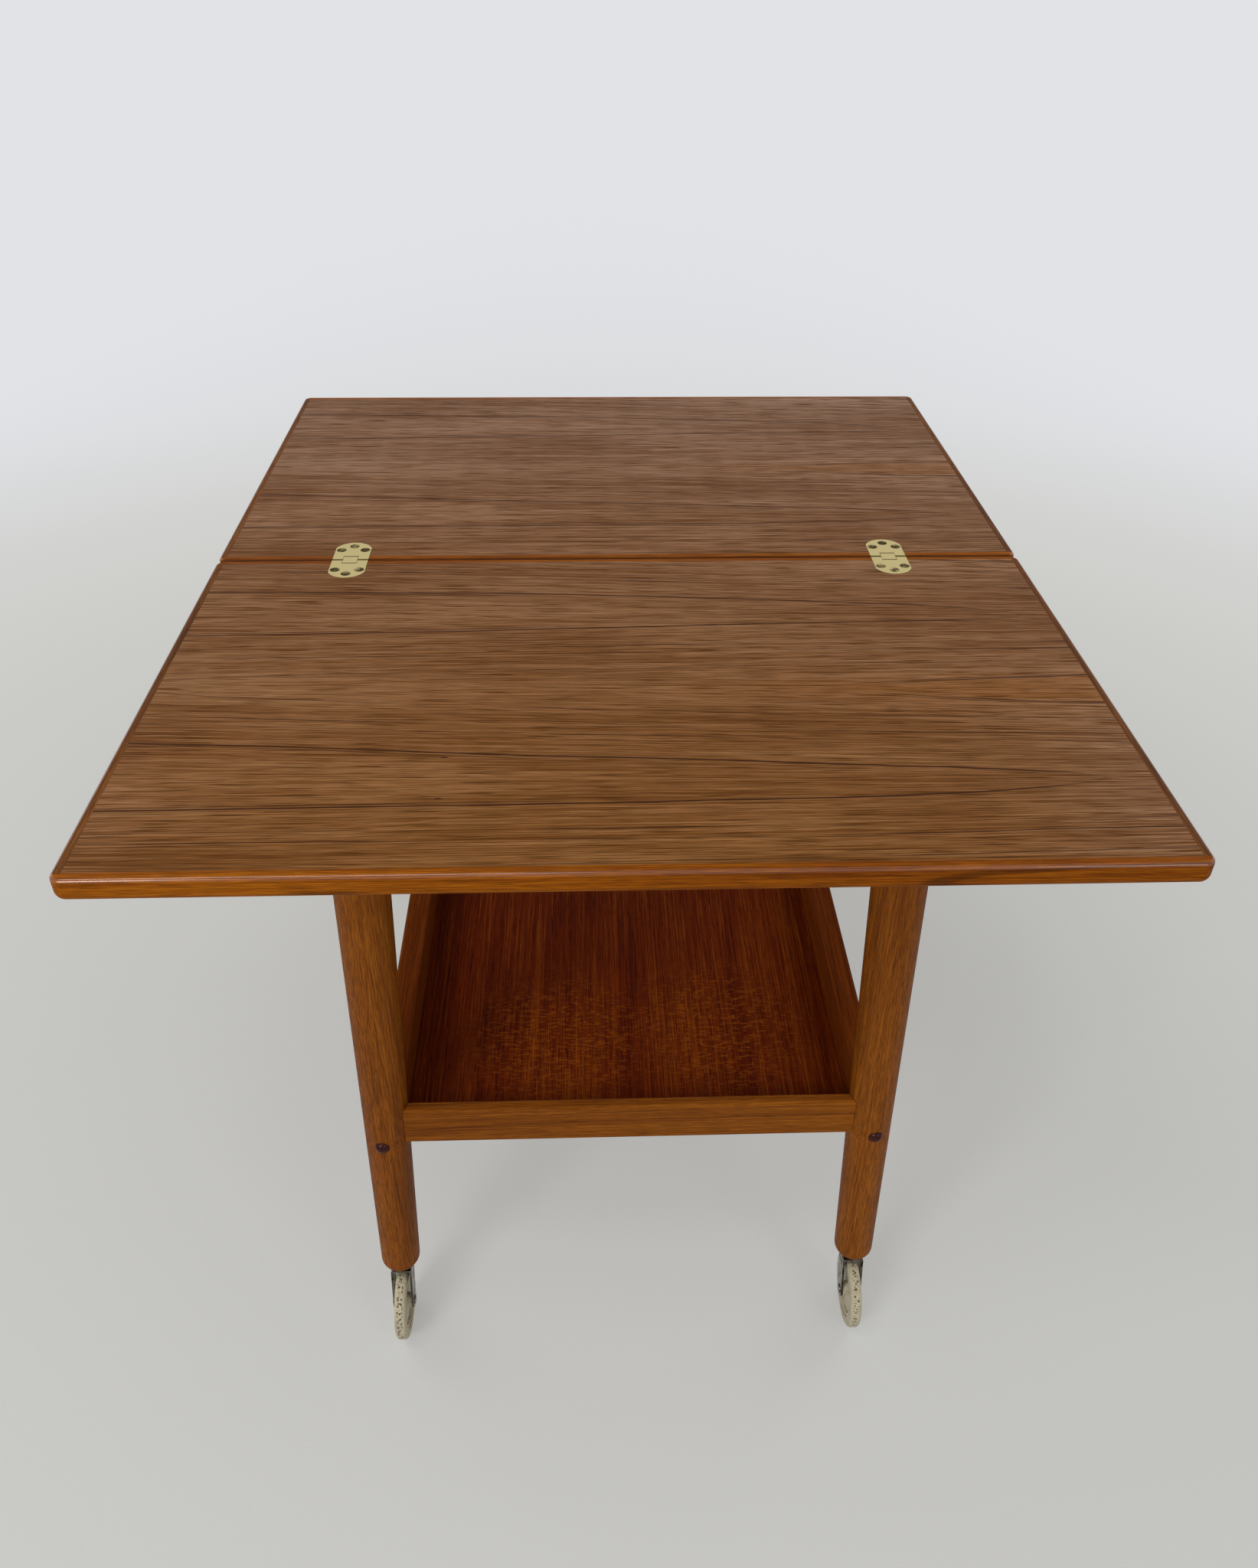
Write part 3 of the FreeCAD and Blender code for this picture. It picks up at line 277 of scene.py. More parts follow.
class Finish(NodeMaker):
    """A material being made."""

    def __init__(self, name):
        self.material = bpy.data.materials.new(name)
        self.material.use_nodes = True
        super().__init__(self.material.node_tree)

    def scaled(self, vector, scale):
        return self.add("ShaderNodeVectorMath", {0: vector, 1: scale}, operation="MULTIPLY").outputs[0]

    def moved(self, vector, shift):
        return self.add("ShaderNodeVectorMath", {0: vector, 1: shift}, operation="ADD").outputs[0]

    def reach(self, vector):
        """A vector's length."""
        return self.add("ShaderNodeVectorMath", {0: vector}, operation="LENGTH").outputs["Value"]

    def split(self, vector):
        return self.add("ShaderNodeSeparateXYZ", {0: vector}).outputs

    def joined(self, x, y, z):
        return self.add("ShaderNodeCombineXYZ", {0: x, 1: y, 2: z}).outputs[0]

    def place(self):
        """The point on the piece, in metres, which stays with the piece when it moves."""
        return self.add("ShaderNodeTexCoord", {}).outputs["Object"]

    def facing(self):
        """The way the surface faces, in the piece's own directions."""
        return self.add("ShaderNodeTexCoord", {}).outputs["Normal"]

    def noise(self, vector, detail=2.0, roughness=0.5):
        inputs = {"Vector": vector, "Scale": 1.0, "Detail": detail, "Roughness": roughness}
        return self.add("ShaderNodeTexNoise", inputs).outputs[0]

    def streaky(self, grain, along, across, detail=2.0, roughness=0.5):
        """Noise drawn out along the grain, with so many marks to the metre along it and across it."""
        return self.noise(self.scaled(grain, (along, across, across)), detail, roughness)

    def marks(self, grain, length, width, detail, roughness=0.5):
        """Noise whose marks have a length along the grain and a width across it, in metres."""
        return self.streaky(grain, 1 / length, 1 / width, detail, roughness)

    def speckle(self, to_metre, detail=2.0, roughness=0.5):
        """Noise over the piece with as many marks to the metre every way."""
        return self.streaky(self.place(), to_metre, to_metre, detail, roughness)

    def fade(self, value, low, high):
        """0 at low, 1 at high and smooth between."""
        inputs = {0: value, 1: low, 2: high, 3: 0.0, 4: 1.0}
        return self.add("ShaderNodeMapRange", inputs, interpolation_type="SMOOTHSTEP").outputs[0]

    def tint(self, amount, first, second):
        inputs = {0: amount, 6: first, 7: second}
        return self.add("ShaderNodeMix", inputs, data_type="RGBA").outputs[2]

    def ramp(self, value, stops):
        """Colours placed along a value."""
        node = self.add("ShaderNodeValToRGB", {0: value})
        marks = node.color_ramp.elements
        while len(marks) < len(stops):
            marks.new(0.5)
        for mark, (position, shade) in zip(marks, stops):
            mark.position = position
            mark.color = shade
        return node.outputs[0]

    def shader(self, height, shade, roughness, depth, **sockets):
        """The shader with its relief. A further socket's name is written with _ for each space."""
        bump = self.add("ShaderNodeBump", {"Strength": 1.0, "Distance": depth, "Height": height})
        inputs = {"Normal": bump.outputs[0], "Base Color": shade, "Roughness": roughness}
        for name, value in sockets.items():
            inputs[name.replace("_", " ")] = value
        return self.add("ShaderNodeBsdfPrincipled", inputs).outputs[0]

    def done(self, shader):
        self.add("ShaderNodeOutputMaterial", {"Surface": shader})
        return self.material


def wear(node_name, material):
    """Gives one CAD node its finish."""
    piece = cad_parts[node_name]
    if not piece.material_slots:
        piece.data.materials.append(material)
    for slot in piece.material_slots:
        slot.material = material


def smooth_object(name, mesh, material):
    """An object with smooth faces in the scene, made from a bmesh that is then freed."""
    data = bpy.data.meshes.new(name)
    mesh.to_mesh(data)
    mesh.free()
    for face in data.polygons:
        face.use_smooth = True
    data.materials.append(material)
    made = bpy.data.objects.new(name, data)
    bpy.context.scene.collection.objects.link(made)
    return made


def middle_of(node_name):
    """The middle of a CAD node's box."""
    return sum(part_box(node_name), Vector()) / 2


def tones_of(colours, wood):
    """The four tones of a wood. Woods with no pore colour of their own share the veneer's."""
    pale, mid, dark = [getattr(colours, wood + tone) for tone in ("_pale", "_mid", "_dark")]
    return Tones(pale, mid, dark, getattr(colours, wood + "_pore", colours.veneer_pore))


def looks_of(context):
    """The scene's colours and sizes for the trolley."""
    return context.scene.trolley_colours, context.scene.trolley_sizes


def grain_of(finish, along, shift=IN_PLACE):
    """The point on the piece, turned so that x runs along the grain."""
    x, y, z = finish.split(finish.place())
    turned = {"x": (x, y, z), "y": (y, x, z), "z": (z, x, y)}[along]
    return finish.moved(finish.joined(*turned), shift)


def sawn_rings(finish, grain, board, sizes):
    """Distance from the tree's middle, which wanders a little along the board."""
    along, across, depth = finish.split(grain)
    side = finish.minus(across, finish.weighted(along, board.lean_across, board.pith_across))
    below = finish.minus(depth, finish.weighted(along, board.lean_depth, board.pith_depth))
    radius = finish.reach(finish.joined(side, below, 0.0))
    wander = finish.streaky(grain, along=3.0, across=14.0)
    return finish.joined(along, finish.weighted(wander, sizes.board_wander, radius), 0.0)


def slip_matched_rings(finish, grain, sizes):
    """The veneer's rings, in crowns along the leaf, how steeply they climb, and fibres that lean alike."""
    along, across, depth = finish.split(grain)
    figure_bend = finish.noise(finish.scaled(grain, FIGURE_BENDS), detail=1.0)
    ring_bend = finish.noise(finish.scaled(grain, RING_BENDS))
    place = finish.weighted(along, sizes.figure_skew, finish.minus(across, sizes.figure_place))
    place = finish.minus(place, sizes.figure_wander / 2)
    place = finish.weighted(figure_bend, sizes.figure_wander, place)
    angle = finish.times(place, 2 * math.pi / sizes.figure_repeat)
    half = sizes.figure_rise / 2
    climb = finish.weighted(finish.calc("COSINE", angle), -half, half)
    ring = finish.weighted(along, sizes.figure_taper, climb)
    ring = finish.weighted(ring_bend, sizes.ring_wander, finish.minus(ring, sizes.ring_wander / 2))
    steepest = math.pi * sizes.figure_rise / sizes.figure_repeat
    sine = finish.calc("SINE", angle)
    slope = finish.times(finish.calc("ABSOLUTE", sine), steepest)
    lean = finish.weighted(sine, sizes.figure_taper / steepest, sizes.figure_skew)
    fibres = finish.joined(along, finish.weighted(along, lean, across), depth)
    return finish.joined(along, ring, 0.0), finish.larger(slope, FLAT_RINGS), fibres


def thin_line(finish, distance, steepness, width):
    """1 on a line of even thickness, from the rings' distance to it and how steeply they climb."""
    return finish.fade(finish.calc("DIVIDE", distance, steepness), width, LINE_CORE * width)


def scattered_veins(finish, rings, sizes, steepness=1.0):
    """Thin dark lines along the rings, unevenly apart, some faint, and broken here and there."""
    gap = sizes.vein_gap
    step = finish.calc("DIVIDE", finish.split(rings)[1], gap)
    cells = finish.add("ShaderNodeTexVoronoi", {"W": step, "Scale": 1.0}, voronoi_dimensions="1D").outputs
    line = thin_line(finish, finish.times(cells["Distance"], gap), steepness, sizes.vein_width)
    strength = finish.fade(finish.split(cells["Color"])[0], 0.0, 0.8)
    whole = finish.fade(finish.streaky(rings, along=5.0, across=0.6 / gap), 0.36, 0.56)
    return finish.times(finish.times(line, strength), whole)


def teak(finish, grain, rings, veins, wood, sizes, **coat):
    """Oiled teak: soft bands along the rings, fine streaks, dark veins and open pores."""
    tones = wood.tones
    bands = finish.streaky(rings, along=1.1, across=1 / sizes.band_width, detail=3.0, roughness=0.6)
    streaks = finish.marks(grain, sizes.streak_length, sizes.streak_width, detail=3.0, roughness=0.6)
    cloud = finish.streaky(grain, along=3.0, across=11.0)
    pore_length = sizes.pore_length * wood.pore_share
    pore_width = sizes.pore_width * wood.pore_share
    large = finish.fade(finish.marks(grain, pore_length, pore_width, detail=0.5), *PORE_EDGE)
    small = finish.fade(finish.marks(grain, pore_length / 2, pore_width / 2, detail=0.5), *PORE_EDGE)
    pores = finish.larger(large, finish.times(small, SMALL_PORE_SHARE))
    tone = finish.weighted(bands, BAND_SHARE, finish.times(streaks, STREAK_SHARE))
    tone = finish.weighted(cloud, CLOUD_SHARE, tone)
    darkest = MID_TONE - wood.spread
    palest = MID_TONE + wood.spread
    shade = finish.ramp(tone, [(darkest, tones.dark), (MID_TONE, tones.mid), (palest, tones.pale)])
    if wood.stain:
        shade = finish.tint(wood.stain[0], shade, wood.stain[1])
    shade = finish.tint(finish.times(veins, wood.veins), shade, tones.pore)
    shade = finish.tint(finish.times(pores, wood.pores), shade, tones.pore)
    roughness = finish.weighted(streaks, 0.16, 0.36)
    roughness = finish.weighted(pores, 0.14, roughness)
    height = finish.weighted(pores, -1.0, finish.times(streaks, 0.35))
    if wood.sheen:
        ridges = finish.fade(tone, darkest, palest)
        closed = finish.minus(1.0, finish.larger(pores, veins))
        oiled = finish.times(finish.times(ridges, closed), wood.sheen)
        coat = {"Coat_Weight": oiled, "Coat_Roughness": 0.28, "Coat_IOR": 1.30}
    return finish.done(finish.shader(height, shade, roughness, depth=sizes.relief,
                                     Specular_IOR_Level=wood.gloss, **coat))


def teak_board(name, board, wood, sizes, rubbed=False, dirt_and_shade=False):
    """A finish for one sawn board. Its rounded top edges can be rubbed bright, and take painted shade at the
    joint.
    """
    finish = Finish(name)
    grain = grain_of(finish, board.along, board.shift)
    rings = sawn_rings(finish, grain, board, sizes)
    veins = scattered_veins(finish, rings, sizes)
    if not rubbed:
        return teak(finish, grain, rings, veins, wood, sizes)
    # A rounded top edge faces neither sideways nor straight up
    up = finish.split(finish.facing())[2]
    arris = finish.times(finish.fade(up, 0.10, 0.35), finish.fade(up, 0.985, 0.90))
    # Painted shade: near the top of the flap's edge at the joint, the wood is darkened towards the pore
    # colour where the gap between the leaves lies in shade, and the edge's coat is taken away there
    if dirt_and_shade:
        joint_shade_reach = sizes.joint_shade
        place = finish.split(finish.place())
        from_joint = finish.calc("ABSOLUTE", place[1])
        upper = finish.fade(place[2], LEAF_TOP - joint_shade_reach, LEAF_TOP - joint_shade_reach / 2)
        grime_and_shade = finish.times(finish.fade(from_joint, joint_shade_reach, 0.0), JOINT_SHADE_SHARE)
        wood = wood._replace(stain=(finish.times(grime_and_shade, upper), wood.tones.pore))
        arris = finish.times(arris, finish.fade(from_joint, 0.0, 2 * joint_shade_reach))
    return teak(finish, grain, rings, veins, wood, sizes, Coat_Weight=arris, Coat_Roughness=0.11)


def rail_wood(colours):
    """Straight-grained teak of the aprons and of the tray's end rims."""
    return Wood(tones_of(colours, "frame"), spread=0.15, veins=0.50, pores=0.42, pore_share=0.5, gloss=0.04)


def rail_board(name, aside, below, lean_across, lean_depth=0.0):
    """A straight rail's board, with its pith so far to one side and so far below."""
    along = "y" if "side" in name else "x"
    middle = middle_of(name)
    across = middle.x if along == "y" else middle.y
    return Board(along, across + aside, middle.z - below, lean_across, lean_depth)


def brushed_brass(colours, name, dullness):
    """Brass rubbed one way, with tarnish in patches, and painted shade in the dull colour on faces that turn
    away from straight up, such as its rounded edges.
    """
    finish = Finish(name)
    grain = grain_of(finish, "y")
    rubbed = finish.streaky(grain, along=120.0, across=2600.0, roughness=0.6)
    patches = finish.streaky(grain, along=90.0, across=110.0, detail=3.0, roughness=0.6)
    tarnish = finish.weighted(rubbed, 0.35, finish.times(patches, 0.65))
    dull = finish.fade(tarnish, 0.66 - dullness, 0.84 - dullness)
    # Painted shade: faces that turn away from straight up, at the rounded edges beside the gaps and in the
    # screw slots, take the dull colour
    edge_shade = finish.fade(finish.split(finish.facing())[2], 0.985, 0.80)
    dull = finish.larger(dull, edge_shade)
    shade = finish.tint(dull, colours.brass_pale, colours.brass_dark)
    roughness = finish.weighted(dull, 0.30, finish.weighted(tarnish, 0.30, 0.22))
    return finish.done(finish.shader(rubbed, shade, roughness, depth=0.00003, Metallic=1.0))


def zinc_plate(colours, name):
    """Dull plated steel."""
    finish = Finish(name)
    bloom = finish.speckle(to_metre=140.0, detail=3.0, roughness=0.6)
    shade = finish.ramp(bloom, [(0.38, colours.zinc_dark), (0.62, colours.zinc_pale)])
    roughness = finish.weighted(bloom, 0.24, 0.26)
    fine = finish.speckle(to_metre=900.0)
    return finish.done(finish.shader(fine, shade, roughness, depth=0.00004, Metallic=1.0))


class TROLLEY_OT_leaves(Operator):
    """Veneers the two leaves with slip-matched teak: the same figure on both"""

    bl_idname = "trolley.leaves"
    bl_label = "Veneer the leaves"

    # Two tiny dark knots on the swivel leaf: along it and up from its near edge, in metres
    PIN_KNOTS = ((-0.1275, 0.1228), (-0.1277, 0.0762))
    # The sizes that place the figure's dark rings, how dark each is, and how much wider than a scattered vein
    FIGURE_RINGS = (("crown_ring", 1.0), ("heart_ring", 0.6))
    FIGURE_LINE_WIDTH = 1.6
    # How much of a line is left where the rings lie flat
    FAINTEST_LINE = 0.25
    # How far the heart's own colour shows
    HEART_SHARE = 0.50

    def figure_lines(self, finish, rings, steepness, sizes):
        """The dark rings that draw the figure, among fainter scattered ones."""
        ring = finish.split(rings)[1]
        width = self.FIGURE_LINE_WIDTH * sizes.vein_width
        lines = scattered_veins(finish, rings, sizes, steepness)
        for size, strength in self.FIGURE_RINGS:
            off = finish.calc("ABSOLUTE", finish.minus(ring, getattr(sizes, size)))
            line = finish.times(thin_line(finish, off, steepness, width), strength)
            lines = finish.larger(lines, line)
        steep = finish.fade(steepness, FLAT_RINGS, STEEP_RINGS)
        return finish.times(lines, finish.weighted(steep, 1 - self.FAINTEST_LINE, self.FAINTEST_LINE))

    def pin_knots(self, finish, grain, lines, sizes):
        """The lines with the pin knots among them."""
        for x, y in self.PIN_KNOTS:
            away = finish.moved(grain, (-x, -y, 0.0))
            away = finish.scaled(away, (1 / sizes.knot_length, 1 / sizes.knot_width, 0.0))
            lines = finish.larger(lines, finish.fade(finish.reach(away), 1.0, 0.2))
        return lines

    def heart(self, finish, rings, colours, sizes):
        """How far the heart of the figure is paler, and its colour."""
        start = sizes.heart_ring - sizes.heart_fade
        end = sizes.heart_ring + sizes.heart_fade
        inside = finish.fade(finish.split(rings)[1], start, end)
        return finish.times(inside, self.HEART_SHARE), colours.veneer_heart

    def execute(self, context):
        colours, sizes = looks_of(context)
        for leaf in LEAVES:
            finish = Finish(leaf + "_veneer")
            near_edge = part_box(leaf + "_long_lippings")[0].y
            grain = grain_of(finish, "x", (0.0, -near_edge, 0.0))
            rings, steepness, fibres = slip_matched_rings(finish, grain, sizes)
            lines = self.figure_lines(finish, rings, steepness, sizes)
            if leaf == "swivel_leaf":
                lines = self.pin_knots(finish, grain, lines, sizes)
            heart = self.heart(finish, rings, colours, sizes)
            wood = Wood(tones_of(colours, "veneer"), spread=0.115, veins=0.95, pores=0.60, pore_share=1.0,
                        gloss=0.040, stain=heart, sheen=1.0)
            wear(leaf + "_panel", teak(finish, fibres, rings, lines, wood, sizes))
        return {"FINISHED"}


class TROLLEY_OT_lippings(Operator):
    """Gives the leaves' solid edges straight-grained teak, along each edge"""

    bl_idname = "trolley.lippings"
    bl_label = "Finish the lippings"

    def execute(self, context):
        colours, sizes = looks_of(context)
        long_wood = Wood(tones_of(colours, "lipping"), spread=0.11, veins=0.7, pores=0.45, pore_share=0.6,
                         gloss=0.03)
        end_wood = Wood(tones_of(colours, "end"), spread=0.12, veins=0.6, pores=0.5, pore_share=0.7,
                        gloss=0.04)
        for number, leaf in enumerate(LEAVES):
            # Each edge comes from another stretch of the tree
            long_board = Board("x", pith_across=0.10, pith_depth=0.72, lean_across=0.01,
                               shift=(0.4 * number, 0.0, 0.0))
            end_board = Board("y", pith_across=0.12, pith_depth=0.70, lean_across=0.02,
                              shift=(0.9 + 0.3 * number, 0.0, 0.0))
            # Only the flap's edges take the painted shade of the joint
            dirt_and_shade = leaf == "flap"
            long_edge = teak_board(leaf + "_edge", long_board, long_wood, sizes, rubbed=True, dirt_and_shade=dirt_and_shade)
            end_edge = teak_board(leaf + "_end_edge", end_board, end_wood, sizes, rubbed=True, dirt_and_shade=dirt_and_shade)
            wear(leaf + "_long_lippings", long_edge)
            wear(leaf + "_end_lippings", end_edge)
        return {"FINISHED"}


class TROLLEY_OT_legs(Operator):
    """Gives each leg teak whose grain runs down its own slope"""

    bl_idname = "trolley.legs"
    bl_label = "Finish the legs"

    # The way from the first leg's middle to its pith, in radians. Each next leg adds one radian.
    FIRST_PITH_TURN = 1.3

    def execute(self, context):
        colours, sizes = looks_of(context)
        tones = tones_of(colours, "frame")
        wood = Wood(tones, spread=0.14, veins=0.55, pores=0.50, pore_share=0.5, gloss=0.06)
        for number, corner in enumerate(CORNERS):
            middle = middle_of("leg_" + corner)
            slope_x = -math.copysign(sizes.leg_lean_x, middle.x)
            slope_y = -math.copysign(sizes.leg_lean_y, middle.y)
            turn = self.FIRST_PITH_TURN + number
            pith_x = middle.x - slope_x * middle.z + sizes.leg_pith * math.cos(turn)
            pith_y = middle.y - slope_y * middle.z + sizes.leg_pith * math.sin(turn)
            board = Board("z", pith_x, pith_y, slope_x, slope_y)
            wear("leg_" + corner, teak_board("leg_teak_" + corner, board, wood, sizes))
        return {"FINISHED"}


class TROLLEY_OT_aprons(Operator):
    """Gives the four aprons teak, along each one"""

    bl_idname = "trolley.aprons"
    bl_label = "Finish the aprons"

    def execute(self, context):
        colours, sizes = looks_of(context)
        wood = rail_wood(colours)
        for name in ("side_apron_left", "side_apron_right", "end_apron_front", "end_apron_back"):
            board = rail_board(name, aside=0.05, below=0.07, lean_across=0.02)
            wear(name, teak_board(name + "_teak", board, wood, sizes))
        return {"FINISHED"}


class TROLLEY_OT_tray(Operator):
    """Finishes the tray: four rims, the flecked panel and the screws that hold it"""

    bl_idname = "trolley.tray"
    bl_label = "Finish the tray"

    # Middles of the flecked patches on the panel, along it and across it, in metres
    FLECKED_PATCHES = ((-0.225, -0.06), (-0.215, 0.085))
    # How far the flecks' pale colour shows
    FLECK_SHARE = 0.75

    def flecks(self, finish, grain, sizes):
        """Short strokes across the grain, in a few patches."""
        patches = 0.0
        for along, across in self.FLECKED_PATCHES:
            away = finish.reach(finish.moved(grain, (-along, -across, -TRAY_TOP)))
            patch = finish.fade(away, sizes.fleck_reach, sizes.fleck_reach / 4)
            patches = finish.larger(patch, patches)
        strokes = finish.scaled(grain, (1 / sizes.fleck_width, 1 / sizes.fleck_length, 1.0))
        strokes = finish.fade(finish.noise(strokes, roughness=0.6), 0.50, 0.60)
        return finish.times(strokes, patches)

    def panel(self, colours, sizes):
        """Redder teak with fine streaks, and patches of pale flecks."""
        finish = Finish("tray_panel_teak")
        board = Board("y", pith_across=0.06, pith_depth=0.20, lean_across=0.03)
        grain = grain_of(finish, board.along)
        rings = sawn_rings(finish, grain, board, sizes)
        veins = scattered_veins(finish, rings, sizes)
        tones = tones_of(colours, "tray")
        flecked = finish.times(self.flecks(finish, grain, sizes), self.FLECK_SHARE)
        wood = Wood(tones, spread=0.15, veins=0.20, pores=0.60, pore_share=0.45, gloss=0.03,
                    stain=(flecked, tones.pale))
        return teak(finish, grain, rings, veins, wood, sizes)

    def execute(self, context):
        colours, sizes = looks_of(context)
        end_wood = rail_wood(colours)
        # Painted shade: the side rims take darker, redder tones than the end rims, which share the frame's
        # teak
        shaded_rim_wood = Wood(tones_of(colours, "rim"), spread=0.13, veins=0.4, pores=0.45, pore_share=0.6,
                         gloss=0.02)
        for name, wood in (("tray_side_rim_left", shaded_rim_wood), ("tray_side_rim_right", shaded_rim_wood),
                           ("tray_end_rim_front", end_wood), ("tray_end_rim_back", end_wood)):
            board = rail_board(name, aside=-0.06, below=0.05, lean_across=0.015, lean_depth=0.01)
            wear(name, teak_board(name + "_teak", board, wood, sizes))
        wear("tray_panel", self.panel(colours, sizes))
        wear("tray_screws", zinc_plate(colours, "tray_screw_zinc"))
        return {"FINISHED"}


class TROLLEY_OT_plugs(Operator):
    """Polishes the dark domed plugs that hide the tray's screws"""

    bl_idname = "trolley.plugs"
    bl_label = "Polish the plugs"

    def execute(self, context):
        colours = context.scene.trolley_colours
        finish = Finish("polished_plug")
        grain = grain_of(finish, "z")
        streaks = finish.streaky(grain, along=60.0, across=900.0, detail=3.0, roughness=0.6)
        shade = finish.ramp(streaks, [(0.40, colours.plug_dark), (0.72, colours.plug_pale)])
        roughness = finish.weighted(streaks, 0.14, 0.20)
        polish = finish.shader(streaks, shade, roughness, depth=0.00004, Specular_IOR_Level=0.05,
                               Coat_Weight=0.20, Coat_Roughness=0.10)
        wear("leg_plugs", finish.done(polish))
        return {"FINISHED"}


class TROLLEY_OT_hinges(Operator):
    """Gives the flush hinges rubbed brass, and their screws and pins a duller one"""

    bl_idname = "trolley.hinges"
    bl_label = "Finish the hinges"

    def execute(self, context):
        colours = context.scene.trolley_colours
        plate = brushed_brass(colours, "rubbed_brass", dullness=0.0)
        screw = brushed_brass(colours, "dull_brass", dullness=0.32)
        for leaf in LEAVES:
            wear(leaf + "_hinge_plates", plate)
            wear(leaf + "_hinge_screws", screw)
        wear("hinge_links", plate)
        wear("hinge_pins", screw)
        return {"FINISHED"}


class TROLLEY_OT_swivel(Operator):
    """Finishes the swivel under the top: beech rail and dowels, plated plate and bolt, brass bush"""

    bl_idname = "trolley.swivel"
    bl_label = "Finish the swivel"

    def beech(self, colours, name, along):
        """Plain beech with short flecks."""
        finish = Finish(name)
        grain = grain_of(finish, along)
        bands = finish.streaky(grain, along=2.0, across=90.0)
        flecks = finish.fade(finish.streaky(grain, along=260.0, across=1400.0, detail=1.0), 0.60, 0.70)
        shade = finish.ramp(bands, [(0.35, colours.beech_dark), (0.60, colours.beech_pale)])
        shade = finish.tint(finish.times(flecks, 0.6), shade, colours.beech_dark)
        roughness = finish.weighted(bands, 0.20, 0.46)
        return finish.done(finish.shader(flecks, shade, roughness, depth=0.00010, Specular_IOR_Level=0.20))

    def execute(self, context):
        colours = context.scene.trolley_colours
        wear("pivot_rail", self.beech(colours, "rail_beech", "x"))
        wear("stop_dowels", self.beech(colours, "dowel_beech", "z"))
        wear("pivot_bush", brushed_brass(colours, "bush_brass", dullness=0.06))
        zinc = zinc_plate(colours, "pivot_zinc")
        for name in ("pivot_plate", "pivot_plate_screws", "pivot_bolt", "pivot_washer", "pivot_nut"):
            wear(name, zinc)
        return {"FINISHED"}


class TROLLEY_OT_felt_pads(Operator):
    """Lays a soft felt pad on each apron, under the leaves"""

    bl_idname = "trolley.felt_pads"
    bl_label = "Lay the felt pads"

    # The pad's side view: share of the radius and share of the thickness, from the glued face to the crown
    PROFILE_SHARES = ((0.93, 0.0), (0.98, 0.12), (1.0, 0.42), (0.985, 0.72), (0.93, 0.90), (0.70, 0.97),
                      (0.36, 1.0))
    # Waves round a pad's ragged edge, and how far they turn for a metre of the pad's place, in radians
    SLOW_WAVES = 7
    SLOW_TURN = 90
    QUICK_WAVES = 17
    QUICK_TURN = 70
    # How high the quick waves are beside the slow ones
    QUICK_HEIGHT = 0.6

    def felt(self, colours):
        """Matted wool: fibres every way, with a soft pale bloom."""
        finish = Finish("felt_wool")
        matted = finish.speckle(to_metre=1500.0, detail=4.0, roughness=0.7)
        clumps = finish.speckle(to_metre=260.0)
        mixed = finish.weighted(clumps, 0.4, finish.times(matted, 0.6))
        shade = finish.ramp(mixed, [(0.38, colours.felt), (0.66, colours.felt_pale)])
        roughness = finish.weighted(matted, 0.10, 0.86)
        return finish.done(finish.shader(mixed, shade, roughness, depth=0.00030, Sheen_Weight=0.4,
                                         Specular_IOR_Level=0.1))

    def ragged(self, angle, middle):
        """From -1 to 1 round a pad's edge: two uneven waves, which start elsewhere on each pad."""
        slow = math.sin(self.SLOW_WAVES * angle + self.SLOW_TURN * middle.x)
        quick = math.sin(self.QUICK_WAVES * angle + self.QUICK_TURN * middle.y)
        return (slow + self.QUICK_HEIGHT * quick) / (1 + self.QUICK_HEIGHT)

    def disc(self, mesh, middle, radius, thickness, sizes):
        """One crowned pad with a slightly ragged edge."""
        count = sizes.felt_segments
        rings = []
        for out_share, up_share in self.PROFILE_SHARES:
            ring = []
            for step in range(count):
                angle = 2 * math.pi * step / count
                reach = radius * out_share + sizes.felt_edge * (self.ragged(angle, middle) - 1) * out_share
                x = middle.x + reach * math.cos(angle)
                y = middle.y + reach * math.sin(angle)
                ring.append(mesh.verts.new((x, y, middle.z + thickness * up_share)))
            rings.append(ring)
        for lower, upper in zip(rings, rings[1:]):
            for step in range(count):
                after = (step + 1) % count
                mesh.faces.new((lower[step], lower[after], upper[after], upper[step]))
        mesh.faces.new(list(reversed(rings[0])))
        mesh.faces.new(rings[-1])

    def pad_radius(self):
        """Half the width of the pads on the right-hand side of the frame."""
        right = [v.co.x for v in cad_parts["felt_pads"].data.vertices if v.co.x > 0]
        if not right:
            raise RuntimeError("the felt pads' place was not found")
        return (max(right) - min(right)) / 2

    def execute(self, context):
        colours, sizes = looks_of(context)
        low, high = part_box("felt_pads")
        thickness = high.z - low.z
        radius = self.pad_radius()
        mesh = bmesh.new()
        for x in (low.x + radius, high.x - radius):
            for y in (low.y + radius, high.y - radius):
                self.disc(mesh, Vector((x, y, low.z)), radius, thickness, sizes)
        pads = smooth_object("felt_discs", mesh, self.felt(colours))
        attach(pads, "frame")
        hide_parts("felt_pads")
        return {"FINISHED"}


